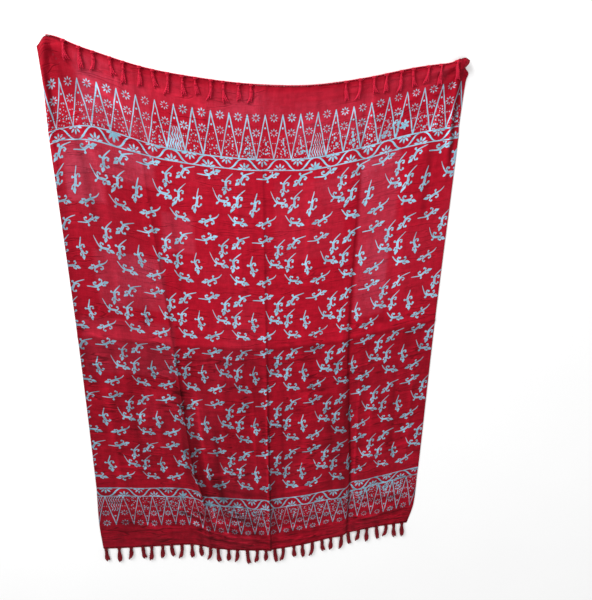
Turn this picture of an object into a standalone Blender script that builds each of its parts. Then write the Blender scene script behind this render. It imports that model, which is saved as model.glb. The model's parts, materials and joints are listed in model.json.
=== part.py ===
"""A printed rayon sarong with tasselled ends, lying flat with its two upper corners drawn up.

The cloth is one thin wall on the floor (z = 0). +X runs across the cloth, +Y to its drawn-up end.
A place on the cloth is (column, along): column counts border triangles from the middle of the
width, along is the distance in metres down from the upper cut edge, as if the cloth lay flat.
"""

import math

import bmesh
import bpy
from mathutils import Vector

# Driving dimensions, in metres
PITCH = 0.047
LEFT_COLUMN = -11.5
RIGHT_COLUMN = 11.75
CLOTH_LENGTH = 1.536
CLOTH_THICKNESS = 0.0024
SEAM_GAP = 0.0003
SHIFT_X = -0.0035
SHIFT_Y = 0.5683

# Where the lines of the print lie on the floor, measured from the upper border line at mid width.
# Each row: along, x of the left and right edge, then y at each of LINE_COLUMNS.
LINE_COLUMNS = (-11.5, -10.8, -9.0, -6.0, -3.0, 0.0, 3.0, 6.0, 9.0, 11.75)
LINES = {
    "upper cut edge": (0.000, -0.534, 0.557,
                       (0.262, 0.285, 0.259, 0.219, 0.197, 0.185, 0.186, 0.206, 0.235, 0.252)),
    "upper tips": (0.072, -0.531, 0.553,
                   (0.178, 0.190, 0.189, 0.149, 0.125, 0.113, 0.120, 0.143, 0.182, 0.208)),
    "upper border line": (0.184, -0.535, 0.549,
                          (0.062, 0.072, 0.080, 0.039, 0.013, 0.002, 0.007, 0.036, 0.074, 0.095)),
    "field top": (0.215, -0.535, 0.551,
                  (0.034, 0.045, 0.045, 0.007, -0.016, -0.027, -0.023, 0.004, 0.043, 0.066)),
    "middle crease": (0.765, -0.534, 0.545,
                      (-0.510, -0.512, -0.520, -0.540, -0.553, -0.560, -0.552, -0.533, -0.503, -0.478)),
    "field bottom": (1.315, -0.542, 0.546,
                     (-1.056, -1.057, -1.062, -1.068, -1.089, -1.106, -1.093, -1.067, -1.044, -1.014)),
    "lower border line": (1.346, -0.544, 0.545,
                          (-1.090, -1.091, -1.095, -1.104, -1.122, -1.145, -1.130, -1.104, -1.074, -1.042)),
    "lower tips": (1.456, -0.550, 0.544,
                   (-1.207, -1.207, -1.209, -1.217, -1.231, -1.252, -1.237, -1.204, -1.191, -1.166)),
    "lower cut edge": (1.536, -0.548, 0.528,
                       (-1.314, -1.315, -1.315, -1.314, -1.318, -1.329, -1.314, -1.280, -1.257, -1.244)),
}

# The lengthwise folds. Their values are read at FOLD_STATIONS down the cloth: the column of the
# fold, its height, the run-out of its left and right sides, and how far the cloth to its right
# is drawn down. Left and right intake is the width that the fold takes from each side at the hem.
# A fold stands up as a ridge, or lies between two low rises as a trough.
FOLD_STATIONS = (0.0, 0.215, 0.765, 1.210, 1.330, 1.536)
FOLDS = {
    "quarter": {
        "trough": False,
        "column": (-6.6, -6.5, -5.6, -4.9, -4.3, -4.0),
        "height": (0.002, 0.004, 0.008, 0.017, 0.021, 0.007),
        "left_run": (0.020, 0.020, 0.024, 0.040, 0.050, 0.060),
        "right_run": (0.020, 0.018, 0.016, 0.014, 0.013, 0.045),
        "drop": (0.0, 0.0, 0.0, 0.018, 0.028, 0.028),
        "drop_run": (0.050, 0.050, 0.050, 0.028, 0.026, 0.085),
        "left_intake": 0.008,
        "right_intake": 0.002,
    },
    "middle": {
        "trough": False,
        "column": (0.2, 0.3, 0.45, 0.6, 0.65, 0.7),
        "height": (0.002, 0.003, 0.005, 0.009, 0.011, 0.010),
        "left_run": (0.016, 0.016, 0.016, 0.018, 0.020, 0.020),
        "right_run": (0.016, 0.014, 0.012, 0.010, 0.010, 0.010),
        "drop": (0.0, 0.0, 0.0, 0.0, 0.0, 0.0),
        "drop_run": (0.050, 0.050, 0.050, 0.050, 0.050, 0.050),
        "left_intake": 0.002,
        "right_intake": 0.004,
    },
    "three_quarter": {
        "trough": True,
        "column": (6.1, 6.1, 6.0, 6.6, 6.7, 6.7),
        "height": (0.004, 0.006, 0.010, 0.014, 0.014, 0.010),
        "left_run": (0.014, 0.014, 0.012, 0.012, 0.014, 0.014),
        "right_run": (0.018, 0.018, 0.018, 0.020, 0.020, 0.020),
        "drop": (0.0, 0.0, -0.004, -0.016, -0.022, -0.012),
        "drop_run": (0.050, 0.050, 0.050, 0.025, 0.022, 0.045),
        "left_intake": 0.004,
        "right_intake": 0.004,
    },
}

TROUGH_SPREAD = 4.0
DRAW_SPREAD = 0.006
EDGE_COLUMNS = 2.0

# Creases across the cloth: along, first and last column, height and run-out.
CROSS_CREASES = {
    "middle": {"along": 0.765, "first": -11.5, "last": 11.75, "height": 0.0045, "run": 0.012},
    "above hem": {"along": 1.490, "first": -11.5, "last": -4.0, "height": 0.0035, "run": 0.010},
}

CREASE_FADE_OUT = 1.0
CREASE_FADE_IN = 0.5

# Pulls at the drawn-up corners: start and end place, height and half width at each end.
PULLS = {
    "left lump": {"start": (-11.0, 0.012), "end": (-11.25, 0.040), "height": (0.019, 0.010), "half": (0.016, 0.012)},
    "left upper": {"start": (-10.6, 0.016), "end": (-8.2, 0.060), "height": (0.013, 0.0), "half": (0.011, 0.030)},
    "left slant": {"start": (-10.8, 0.040), "end": (-9.2, 0.170), "height": (0.010, 0.0), "half": (0.010, 0.030)},
    "left side": {"start": (-11.35, 0.040), "end": (-11.3, 0.330), "height": (0.010, 0.003), "half": (0.007, 0.008)},
    "right bunch": {"start": (11.35, 0.012), "end": (11.2, 0.045), "height": (0.022, 0.012), "half": (0.017, 0.013)},
    "right upper": {"start": (11.0, 0.014), "end": (8.6, 0.050), "height": (0.014, 0.0), "half": (0.010, 0.028)},
    "right slant": {"start": (11.1, 0.040), "end": (9.6, 0.160), "height": (0.011, 0.0), "half": (0.010, 0.028)},
    "right side": {"start": (11.30, 0.050), "end": (11.25, 0.330), "height": (0.011, 0.004), "half": (0.009, 0.009)},
}

# Broad soft rises between the folds: centre, half size across (columns) and along (metres), height.
RISES = {
    "upper left": {"column": -8.8, "along": 0.42, "across": 1.9, "down": 0.26, "height": 0.008},
    "upper inner left": {"column": -3.0, "along": 0.50, "across": 2.0, "down": 0.30, "height": 0.007},
    "upper inner right": {"column": 3.1, "along": 0.40, "across": 1.9, "down": 0.24, "height": 0.008},
    "upper right": {"column": 8.9, "along": 0.52, "across": 1.8, "down": 0.30, "height": 0.007},
    "lower left": {"column": -8.4, "along": 1.12, "across": 2.0, "down": 0.24, "height": 0.009},
    "lower inner left": {"column": -2.2, "along": 1.02, "across": 1.6, "down": 0.17, "height": 0.007},
    "lower inner right": {"column": 3.4, "along": 1.16, "across": 1.9, "down": 0.26, "height": 0.008},
    "lower right": {"column": 9.3, "along": 1.08, "across": 1.6, "down": 0.26, "height": 0.009},
    "hem left": {"column": -8.0, "along": 1.47, "across": 1.3, "down": 0.06, "height": 0.006},
    "hem middle": {"column": -1.6, "along": 1.46, "across": 1.2, "down": 0.07, "height": 0.006},
    "hem right": {"column": 9.0, "along": 1.46, "across": 1.4, "down": 0.06, "height": 0.006},
    "margin left": {"column": -5.0, "along": 0.10, "across": 2.2, "down": 0.06, "height": 0.006},
    "margin right": {"column": 7.4, "along": 0.11, "across": 1.8, "down": 0.06, "height": 0.006},
}
RESTING_LEVEL = 0.002

# The stretch of the upper edge whose tassels are tucked under the cloth
TUCK_FIRST = 0.15
TUCK_LAST = 4.5
TUCK_BLEND = 0.4
TUCK_LIFT = 0.0046
TUCK_REACH = 0.058
TUCK_RUN_OUT = 0.045
TUCK_SWITCH = (0.4, 0.6)

# The panel's mesh: cells between neighbouring folds, and rows down the cloth
PANEL_SHARES = (0.0, 0.02, 0.07, 0.18, 0.34, 0.49, 0.62, 0.73, 0.88, 0.97)
PANEL_ROWS = (0.0, 0.010, 0.024, 0.042, 0.062, 0.085, 0.120, 0.160, 0.200, 0.260, 0.330, 0.420,
              0.510, 0.600, 0.680, 0.735, 0.757, 0.765, 0.773, 0.795, 0.850, 0.930, 1.010, 1.090,
              1.170, 1.240, 1.290, 1.330, 1.380, 1.430, 1.465, 1.482, 1.490, 1.498, 1.515, 1.536)

# Tassels: a pair of twisted locks each
LOCK_SHARES = (0.14, 0.45, 0.76, 1.0)
LOCK_WIDTHS = (0.0050, 0.0062, 0.0070, 0.0048)
LOCK_HEIGHTS = (0.0046, 0.0058, 0.0064, 0.0044)
LOCK_OFFSETS = (0.0028, 0.0034, 0.0039, 0.0031)
UNDER_CLOTH_FLATTENING = 0.45
LOCK_ROOT = 0.0040
LOCK_ROOT_GAP = 0.0014
LOCK_HOOK = 0.008
STRIP_WIDTH = 0.0036
ROOT_RISE = 0.0032
FLOOR_GAP = 0.0006
REST_ON_CLOTH = 0.0008
NEAREST_STATIONS = 0.0016
RIM_STEP = 0.05
FACE_STEPS = 6

# How the tassels differ along a row: the swing of each value and its step from tassel to tassel
TASSEL_SWAY = 0.05
TASSEL_SWAY_STEP = 2.7
LENGTH_SWING = 0.12
LENGTH_STEP = 1.9
SECOND_LOCK_SHORTER = 0.08
HOOK_STEP = 2.3
HOOK_START = 0.7
FAN_SLOPE = 0.05
SETTLED_SHARE = 0.6

TASSELS = {
    "fringe_bottom": {"count": 32, "first": -11.3, "last": 11.25, "length": 0.056},
    "fringe_top": {"count": 29, "first": -10.0, "last": 11.0, "length": 0.047},
}

COLOURS = {
    "cloth_panel": (0.42, 0.012, 0.028),
    "fringe_bottom": (0.24, 0.008, 0.016),
    "fringe_top": (0.33, 0.009, 0.022),
}
CLOTH_ROUGHNESS = 0.78


def smooth_step(low, high, value):
    share = min(1.0, max(0.0, (value - low) / (high - low)))
    return share * share * (3.0 - 2.0 * share)


def read_curve(stations, values, at):
    """The value at a station on the smooth curve through the given ones."""
    at = min(max(at, stations[0]), stations[-1])
    cell = 0
    while cell < len(stations) - 2 and at > stations[cell + 1]:
        cell += 1

    def slope(index):
        before, after = max(index - 1, 0), min(index + 1, len(stations) - 1)
        return (values[after] - values[before]) / (stations[after] - stations[before])

    width = stations[cell + 1] - stations[cell]
    share = (at - stations[cell]) / width
    square, cube = share * share, share * share * share
    return (
        (2 * cube - 3 * square + 1) * values[cell]
        + (cube - 2 * square + share) * width * slope(cell)
        + (3 * square - 2 * cube) * values[cell + 1]
        + (cube - square) * width * slope(cell + 1)
    )


LINE_ALONG = [row[0] for row in LINES.values()]
LINE_LEFT = [row[1] for row in LINES.values()]
LINE_RIGHT = [row[2] for row in LINES.values()]


def line_y(column, along):
    across = [read_curve(LINE_COLUMNS, row[3], column) for row in LINES.values()]
    return read_curve(LINE_ALONG, across, along)


def fold_value(fold, name, along):
    return read_curve(FOLD_STATIONS, FOLDS[fold][name], along)


def beyond_fold(fold, column, along, run):
    """0 left of a fold and 1 right of it, over twice the run in metres."""
    distance = PITCH * (column - fold_value(fold, "column", along))
    return smooth_step(-run, run, distance)


def plan(column, along):
    """The place on the floor under a place on the cloth."""
    x = PITCH * column
    y = line_y(column, along)
    gathered = smooth_step(FOLD_STATIONS[1], FOLD_STATIONS[3], along)
    for fold, values in FOLDS.items():
        right = beyond_fold(fold, column, along, fold_value(fold, "right_run", along) + DRAW_SPREAD)
        x += gathered * ((1.0 - right) * values["left_intake"] - right * values["right_intake"])
        run = fold_value(fold, "drop_run", along)
        y -= fold_value(fold, "drop", along) * beyond_fold(fold, column, along, run)
    left, right = read_curve(LINE_ALONG, LINE_LEFT, along), read_curve(LINE_ALONG, LINE_RIGHT, along)
    left_in = gathered * sum(values["left_intake"] for values in FOLDS.values())
    right_in = gathered * sum(values["right_intake"] for values in FOLDS.values())
    near_left = 1.0 - smooth_step(LEFT_COLUMN, LEFT_COLUMN + EDGE_COLUMNS, column)
    near_right = smooth_step(RIGHT_COLUMN - EDGE_COLUMNS, RIGHT_COLUMN, column)
    x += near_left * (left - (PITCH * LEFT_COLUMN + left_in))
    x += near_right * (right - (PITCH * RIGHT_COLUMN - right_in))
    return x + SHIFT_X, y + SHIFT_Y


def fold_height(fold, column, along):
    distance = PITCH * (column - fold_value(fold, "column", along))
    run = fold_value(fold, "left_run" if distance < 0 else "right_run", along)
    crest = math.exp(-abs(distance) / run)
    if FOLDS[fold]["trough"]:
        crest = math.exp(-((distance / (TROUGH_SPREAD * run)) ** 2)) - crest
    return fold_value(fold, "height", along) * crest


def cross_height(crease, column, along):
    first, last = crease["first"], crease["last"]
    ends = smooth_step(first - CREASE_FADE_OUT, first + CREASE_FADE_IN, column)
    ends *= 1.0 - smooth_step(last - CREASE_FADE_IN, last + CREASE_FADE_OUT, column)
    return ends * crease["height"] * math.exp(-abs(along - crease["along"]) / crease["run"])


def pull_height(pull, column, along):
    start = Vector((PITCH * pull["start"][0], pull["start"][1]))
    end = Vector((PITCH * pull["end"][0], pull["end"][1]))
    here = Vector((PITCH * column, along))
    share = min(1.0, max(0.0, (here - start).dot(end - start) / (end - start).length_squared))
    distance = (here - start.lerp(end, share)).length
    half = pull["half"][0] + share * (pull["half"][1] - pull["half"][0])
    height = pull["height"][0] + share * (pull["height"][1] - pull["height"][0])
    return height * math.exp(-((distance / half) ** 2))


def rise_height(rise, column, along):
    across = (column - rise["column"]) / rise["across"]
    down = (along - rise["along"]) / rise["down"]
    return rise["height"] * math.exp(-(across * across + down * down))


def tuck(column):
    """1 where the tassels of the upper edge lie under the cloth, 0 where they lie on it."""
    return smooth_step(TUCK_FIRST - TUCK_BLEND, TUCK_FIRST, column) * (
        1.0 - smooth_step(TUCK_LAST, TUCK_LAST + TUCK_BLEND, column)
    )


def tuck_height(column, along):
    return TUCK_LIFT * tuck(column) * (1.0 - smooth_step(TUCK_REACH, TUCK_REACH + TUCK_RUN_OUT, along))


def relief(column, along):
    """How high the underside of the cloth stands above the floor."""
    height = sum(fold_height(fold, column, along) for fold in FOLDS)
    height += sum(cross_height(crease, column, along) for crease in CROSS_CREASES.values())
    height += sum(rise_height(rise, column, along) for rise in RISES.values())
    height = max(0.0, height - RESTING_LEVEL)
    height += max(0.0, max(pull_height(pull, column, along) for pull in PULLS.values()) - RESTING_LEVEL)
    return max(height, tuck_height(column, along)) if tuck(column) > 0.0 else height


def place(column, along, above=0.0):
    x, y = plan(column, along)
    return Vector((x, y, relief(column, along) + above))


def column_at(index, along):
    """The column of a mesh line, which follows the folds down the cloth."""
    guides = [LEFT_COLUMN] + [fold_value(fold, "column", along) for fold in FOLDS] + [RIGHT_COLUMN]
    panel, share = divmod(index, len(PANEL_SHARES))
    if panel == len(guides) - 1:
        return guides[-1]
    return guides[panel] + PANEL_SHARES[share] * (guides[panel + 1] - guides[panel])


LAST_LINE = len(PANEL_SHARES) * (len(FOLDS) + 1)


def make_material(name):
    material = bpy.data.materials.new(name)
    material.use_nodes = True
    shader = material.node_tree.nodes["Principled BSDF"]
    shader.inputs["Base Color"].default_value = (*COLOURS[name], 1.0)
    shader.inputs["Roughness"].default_value = CLOTH_ROUGHNESS
    shader.inputs["Metallic"].default_value = 0.0
    return material


def make_object(name, mesh_data, collection):
    bmesh.ops.recalc_face_normals(mesh_data, faces=mesh_data.faces)
    mesh = bpy.data.meshes.new(name)
    mesh_data.to_mesh(mesh)
    mesh_data.free()
    mesh.materials.append(make_material(name))
    mesh.shade_smooth()
    made = bpy.data.objects.new(name, mesh)
    collection.objects.link(made)
    return made


def grid_places(mesh_data, columns, rows):
    """Each vertex of a new unit grid, with its column and row number."""
    bmesh.ops.create_grid(mesh_data, x_segments=columns, y_segments=rows, size=0.5)
    return [
        (vertex, round((vertex.co.x + 0.5) * columns), round((0.5 - vertex.co.y) * rows))
        for vertex in mesh_data.verts
    ]


def extrude_down(mesh_data, faces):
    """Pulls a second skin out of the faces and returns its vertices and faces."""
    made = bmesh.ops.extrude_face_region(mesh_data, geom=faces)["geom"]
    return (
        [item for item in made if isinstance(item, bmesh.types.BMVert)],
        [item for item in made if isinstance(item, bmesh.types.BMFace)],
    )


def make_panel(collection):
    mesh_data = bmesh.new()
    for vertex, line, row in grid_places(mesh_data, LAST_LINE, len(PANEL_ROWS) - 1):
        along = PANEL_ROWS[row]
        vertex.co = place(column_at(line, along), along, CLOTH_THICKNESS)
    underside, _ = extrude_down(mesh_data, mesh_data.faces[:])
    bmesh.ops.translate(mesh_data, verts=underside, vec=(0.0, 0.0, -CLOTH_THICKNESS))
    return make_object("cloth_panel", mesh_data, collection)


def rim_place(column, along):
    """A place on the cut edge of the panel's mesh, straight between its vertices."""
    line = 0
    while line < LAST_LINE - 1 and column > column_at(line + 1, along):
        line += 1
    first, second = column_at(line, along), column_at(line + 1, along)
    share = (column - first) / (second - first)
    return place(first, along).lerp(place(second, along), share)


def rim_outward(column, along):
    """Level direction out of the cloth at its cut edge."""
    before = rim_place(max(column - RIM_STEP, LEFT_COLUMN), along)
    after = rim_place(min(column + RIM_STEP, RIGHT_COLUMN), along)
    run = (after - before).normalized()
    sign = 1.0 if along == 0.0 else -1.0
    return Vector((-run.y, run.x, 0.0)).normalized() * sign


def tassel_columns(tassels):
    spacing = (tassels["last"] - tassels["first"]) / (tassels["count"] - 1)
    return [
        tassels["first"] + spacing * index + TASSEL_SWAY * math.sin(TASSEL_SWAY_STEP * index)
        for index in range(tassels["count"])
    ]


def strip_stations(tassels, along):
    """Columns of the strip's cross-sections, and the numbers of the cells that carry a lock."""
    roots = []
    for centre in tassel_columns(tassels):
        half_gap, root = LOCK_ROOT_GAP / 2 / PITCH, LOCK_ROOT / PITCH
        roots.append((centre - half_gap - root, centre - half_gap))
        roots.append((centre + half_gap, centre + half_gap + root))
    fixed = sorted(column for pair in roots for column in pair)
    nearest = NEAREST_STATIONS / PITCH
    lines = [column_at(line, along) for line in range(LAST_LINE + 1)]
    free = [
        column
        for column in lines
        if fixed[0] - 3 * nearest < column < fixed[-1] + 3 * nearest
        and min(abs(column - other) for other in fixed) > nearest
        and not any(low < column < high for low, high in roots)
    ]
    ends = [max(fixed[0] - 2 * nearest, LEFT_COLUMN), min(fixed[-1] + 2 * nearest, RIGHT_COLUMN)]
    spaced = []
    for column in sorted(free):
        if not spaced or column - spaced[-1] > nearest:
            spaced.append(column)
    spaced = [column for column in spaced if ends[0] + nearest < column < ends[1] - nearest]
    stations = sorted(fixed + spaced + ends)
    return stations, [stations.index(low) for low, _ in roots]


def strip_levels(column, along):
    """Heights of the strip's ridges: top, the line between its two inner faces, and bottom."""
    rim = rim_place(column, along).z
    if along > 0.0:
        return (rim + CLOTH_THICKNESS, rim)
    tucked = smooth_step(*TUCK_SWITCH, tuck(column))
    over = rim + CLOTH_THICKNESS + SEAM_GAP
    under = rim - SEAM_GAP
    return (
        rim + CLOTH_THICKNESS + (1.0 - tucked) * ROOT_RISE,
        over + tucked * (under - over),
        max(FLOOR_GAP, rim - TUCK_LIFT * tuck(column)),
    )


def lock_sections(tassel, column, side, along, length):
    """Four corners for each cross-section of one lock, from its root to its tip."""
    shorter = SECOND_LOCK_SHORTER if side > 0 else 0.0
    reach = length * (1.0 + LENGTH_SWING * math.sin(LENGTH_STEP * tassel) - shorter)
    hook = LOCK_HOOK * math.sin(HOOK_STEP * tassel + HOOK_START)
    fan = FAN_SLOPE * column / RIGHT_COLUMN
    root = rim_place(column, along)
    for share, width, height, offset in zip(LOCK_SHARES, LOCK_WIDTHS, LOCK_HEIGHTS, LOCK_OFFSETS):
        across = side * offset + hook * share**3
        if along > 0.0:
            far = SEAM_GAP + STRIP_WIDTH + share * reach
            centre = root + Vector((across + fan * far, -far, 0.0))
            settle = smooth_step(0.0, SETTLED_SHARE, share)
            low = root.z * (1.0 - settle) + FLOOR_GAP
            ahead = Vector((fan, -1.0, 0.0))
        elif tuck(column) > 0.5:
            height *= UNDER_CLOTH_FLATTENING
            centre = rim_place(column, along) + Vector((across, -share * reach, 0.0))
            low = FLOOR_GAP
            ahead = Vector((0.0, -1.0, 0.0))
        else:
            centre = root + Vector((across, -share * reach, 0.0))
            low = cloth_top_near(centre.x, centre.y, width) + REST_ON_CLOTH
            ahead = Vector((0.0, -1.0, 0.0))
        sideways = Vector((-ahead.y, ahead.x, 0.0)).normalized() * (width / 2)
        level = Vector((centre.x, centre.y, low))
        yield [
            level - sideways,
            level + sideways,
            level + sideways + Vector((0.0, 0.0, height)),
            level - sideways + Vector((0.0, 0.0, height)),
        ]


def cloth_top_near(x, y, width):
    """Highest point of the panel's upper face within a lock's width of a place on the floor."""
    best = 0.0
    for near_x, near_y, near_z in UPPER_FACE:
        if abs(near_x - x) < 3 * width and abs(near_y - y) < 2 * width:
            best = max(best, near_z)
    return best


def upper_face_samples():
    """Places on the panel's upper face near its upper edge, straight between its mesh vertices."""
    samples = []
    rows = [row for row in PANEL_ROWS if row < 2 * TUCK_REACH]
    for line in range(LAST_LINE):
        for upper, lower in zip(rows, rows[1:]):
            corners = [
                place(column_at(line + side, along), along, CLOTH_THICKNESS)
                for along in (upper, lower)
                for side in (0, 1)
            ]
            for across in range(FACE_STEPS + 1):
                top = corners[0].lerp(corners[1], across / FACE_STEPS)
                bottom = corners[2].lerp(corners[3], across / FACE_STEPS)
                samples += [
                    tuple(top.lerp(bottom, down / FACE_STEPS)) for down in range(FACE_STEPS + 1)
                ]
    return samples


def make_fringe(name, along, collection):
    tassels = TASSELS[name]
    stations, lock_cells = strip_stations(tassels, along)
    mesh_data = bmesh.new()
    station_of = mesh_data.verts.layers.int.new("station")
    for vertex, number, outer in grid_places(mesh_data, len(stations) - 1, 1):
        column = stations[number]
        out = SEAM_GAP + outer * STRIP_WIDTH
        vertex.co = rim_place(column, along) + out * rim_outward(column, along)
        vertex.co.z = strip_levels(column, along)[0]
        vertex[station_of] = number
    faces = mesh_data.faces[:]
    for level in range(1, len(strip_levels(stations[0], along))):
        inner = faces if level > 1 else []
        skin, faces = extrude_down(mesh_data, faces)
        bmesh.ops.delete(mesh_data, geom=inner, context="FACES")
        for vertex in skin:
            vertex.co.z = strip_levels(stations[vertex[station_of]], along)[level]
    for number, cell in enumerate(lock_cells):
        column = (stations[cell] + stations[cell + 1]) / 2
        side = -1.0 if number % 2 == 0 else 1.0
        face = root_face(mesh_data, column, along)
        grow_lock(mesh_data, face, lock_sections(number // 2, column, side, along, tassels["length"]))
    return make_object(name, mesh_data, collection)


def root_face(mesh_data, column, along):
    """The strip's side face that a lock grows from."""
    levels = strip_levels(column, along)
    if along > 0.0:
        out, high, low = SEAM_GAP + STRIP_WIDTH, levels[0], levels[1]
    elif tuck(column) > 0.5:
        out, high, low = SEAM_GAP, levels[1], levels[2]
    else:
        out, high, low = SEAM_GAP, levels[0], levels[1]
    target = rim_place(column, along) + out * rim_outward(column, along)
    target.z = (high + low) / 2
    return min(mesh_data.faces, key=lambda face: (face.calc_center_median() - target).length)


def grow_lock(mesh_data, face, sections):
    """Extrudes a root face through the cross-sections, keeping each corner in its own quarter."""
    for corners in sections:
        face = bmesh.ops.extrude_discrete_faces(mesh_data, faces=[face])["faces"][0]
        for vertex, corner in zip(in_quarters(face.verts, "co"), in_quarters(corners)):
            vertex.co = corner
    return face


def in_quarters(items, attribute=None):
    """Four corners as left low, left high, right low, right high."""

    def at(item):
        return getattr(item, attribute) if attribute else item

    by_side = sorted(items, key=lambda item: at(item).x)
    left, right = by_side[:2], by_side[2:]
    return [item for pair in (left, right) for item in sorted(pair, key=lambda item: at(item).z)]


UPPER_FACE = upper_face_samples()


def main():
    for item in list(bpy.data.objects):
        bpy.data.objects.remove(item, do_unlink=True)
    collection = bpy.data.collections.new("sarong")
    bpy.context.scene.collection.children.link(collection)
    make_panel(collection)
    make_fringe("fringe_bottom", CLOTH_LENGTH, collection)
    make_fringe("fringe_top", 0.0, collection)


main()
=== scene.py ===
# %% [markdown]
# # A printed rayon sarong
# A sarong is one rectangle of light cloth that is wrapped round the body. This one is rayon, dyed
# red and printed in pale blue, with a row of twisted tassels at each cut end. It lies flat on the
# floor with its two upper corners drawn up, so the upper edge hangs in a shallow curve.
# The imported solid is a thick, plain version of it. Here the same form gets its thin cloth, its
# soft creases, its print and its yarn.

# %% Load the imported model
import json
import math

import bpy
import numpy as np
from mathutils import Matrix, Vector, kdtree

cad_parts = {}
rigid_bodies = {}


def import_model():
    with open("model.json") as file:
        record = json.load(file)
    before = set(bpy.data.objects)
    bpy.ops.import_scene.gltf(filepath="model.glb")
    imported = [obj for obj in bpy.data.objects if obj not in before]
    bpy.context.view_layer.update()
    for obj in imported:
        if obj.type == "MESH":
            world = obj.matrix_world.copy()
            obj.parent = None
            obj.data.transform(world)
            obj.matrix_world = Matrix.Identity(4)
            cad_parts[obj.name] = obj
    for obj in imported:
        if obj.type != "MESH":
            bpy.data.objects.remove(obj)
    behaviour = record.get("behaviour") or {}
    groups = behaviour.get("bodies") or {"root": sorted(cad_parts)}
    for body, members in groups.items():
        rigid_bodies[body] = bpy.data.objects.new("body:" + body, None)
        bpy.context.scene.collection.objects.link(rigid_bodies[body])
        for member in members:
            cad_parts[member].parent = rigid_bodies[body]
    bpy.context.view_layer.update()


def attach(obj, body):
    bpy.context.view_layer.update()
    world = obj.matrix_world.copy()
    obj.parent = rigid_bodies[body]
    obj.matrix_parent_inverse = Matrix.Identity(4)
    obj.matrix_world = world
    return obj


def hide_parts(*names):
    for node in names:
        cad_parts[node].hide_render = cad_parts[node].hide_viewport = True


for item in list(bpy.data.objects):
    bpy.data.objects.remove(item, do_unlink=True)
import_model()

# %% [markdown]
# ## Places on the cloth
# Cloth is easiest to think of as it was before it was laid down: a flat rectangle. A place on it is
# a column, counted in border triangles from the middle of the width, and a distance along it in
# metres from the upper cut edge. Two functions then say where that place lies on the floor and how
# high the cloth stands there. The print, the creases and the tassels all use the same two numbers.

# %% Sizes of the cloth
PITCH = 0.047
LEFT_COLUMN = -11.5
RIGHT_COLUMN = 11.75
CLOTH_LENGTH = 1.536
CLOTH_THICKNESS = 0.0008
SHIFT_X = -0.0035
SHIFT_Y = 0.5683
print(f"cut: {PITCH * (RIGHT_COLUMN - LEFT_COLUMN):.3f} m by {CLOTH_LENGTH} m")

# %% Where the lines of the print lie: along, left and right edge, then y at each column
LINE_COLUMNS = (-11.5, -10.8, -9.0, -6.0, -3.0, 0.0, 3.0, 6.0, 9.0, 11.75)
LINES = {
    "upper cut edge": (0.000, -0.534, 0.557,
        (0.262, 0.285, 0.259, 0.219, 0.197, 0.185, 0.186, 0.206, 0.235, 0.252)),
    "upper tips": (0.072, -0.531, 0.553,
        (0.178, 0.190, 0.189, 0.149, 0.125, 0.113, 0.120, 0.143, 0.182, 0.208)),
    "upper border line": (0.184, -0.535, 0.549,
        (0.062, 0.072, 0.080, 0.039, 0.013, 0.002, 0.007, 0.036, 0.074, 0.095)),
    "field top": (0.215, -0.535, 0.551,
        (0.034, 0.045, 0.045, 0.007, -0.016, -0.027, -0.023, 0.004, 0.043, 0.066)),
    "middle crease": (0.765, -0.534, 0.545,
        (-0.510, -0.512, -0.520, -0.540, -0.553, -0.560, -0.552, -0.533, -0.503, -0.478)),
    "field bottom": (1.315, -0.542, 0.546,
        (-1.056, -1.057, -1.062, -1.068, -1.089, -1.106, -1.093, -1.067, -1.044, -1.014)),
    "lower border line": (1.346, -0.544, 0.545,
        (-1.090, -1.091, -1.095, -1.104, -1.122, -1.145, -1.130, -1.104, -1.074, -1.042)),
    "lower tips": (1.456, -0.550, 0.544,
        (-1.207, -1.207, -1.209, -1.217, -1.231, -1.252, -1.237, -1.204, -1.191, -1.166)),
    "lower cut edge": (1.536, -0.548, 0.528,
        (-1.314, -1.315, -1.315, -1.314, -1.318, -1.329, -1.314, -1.280, -1.257, -1.244)),
}
LINE_ALONG = [row[0] for row in LINES.values()]
LINE_LEFT = [row[1] for row in LINES.values()]
LINE_RIGHT = [row[2] for row in LINES.values()]
print(len(LINES), "lines of the print guide the cloth")

# %% Curves through a few measured values


def smooth_step(low, high, value):
    share = np.clip((np.asarray(value, float) - low) / (high - low), 0.0, 1.0)
    return share * share * (3.0 - 2.0 * share)


def read_curve(stations, values, at):
    """Smooth curve through the values, read at many places. Each place may have its own values."""
    stations, values = np.asarray(stations, float), np.asarray(values, float)
    at = np.clip(np.asarray(at, float), stations[0], stations[-1])
    cell = np.clip(np.searchsorted(stations, at, side="right") - 1, 0, len(stations) - 2)
    number = np.arange(len(stations))
    before, after = np.maximum(number - 1, 0), np.minimum(number + 1, len(stations) - 1)
    slope = (values[after] - values[before]).T / (stations[after] - stations[before])
    slope = slope.T

    def pick(table, cell):
        return table[cell] if table.ndim == 1 else table[cell, np.arange(table.shape[1])]

    width = stations[cell + 1] - stations[cell]
    share = (at - stations[cell]) / width
    square, cube = share**2, share**3
    return (
        (2 * cube - 3 * square + 1) * pick(values, cell)
        + (cube - 2 * square + share) * width * pick(slope, cell)
        + (3 * square - 2 * cube) * pick(values, cell + 1)
        + (cube - square) * width * pick(slope, cell + 1)
    )


def line_y(column, along):
    across = np.array([read_curve(LINE_COLUMNS, row[3], column) for row in LINES.values()])
    return read_curve(LINE_ALONG, across, along)


upper_middle = line_y(np.zeros(1), np.zeros(1))[0]
print("the middle of the upper edge is at y =", round(float(upper_middle), 3))

# %% [markdown]
# ## The folds
# The cloth was stored folded in four lengthwise and in half across. Laid out again, it keeps a
# pressed line at each fold: sharp at the fold itself, and running out softly on both sides. Each
# fold is a row of named values down the cloth, so that one function draws them all.

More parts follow.
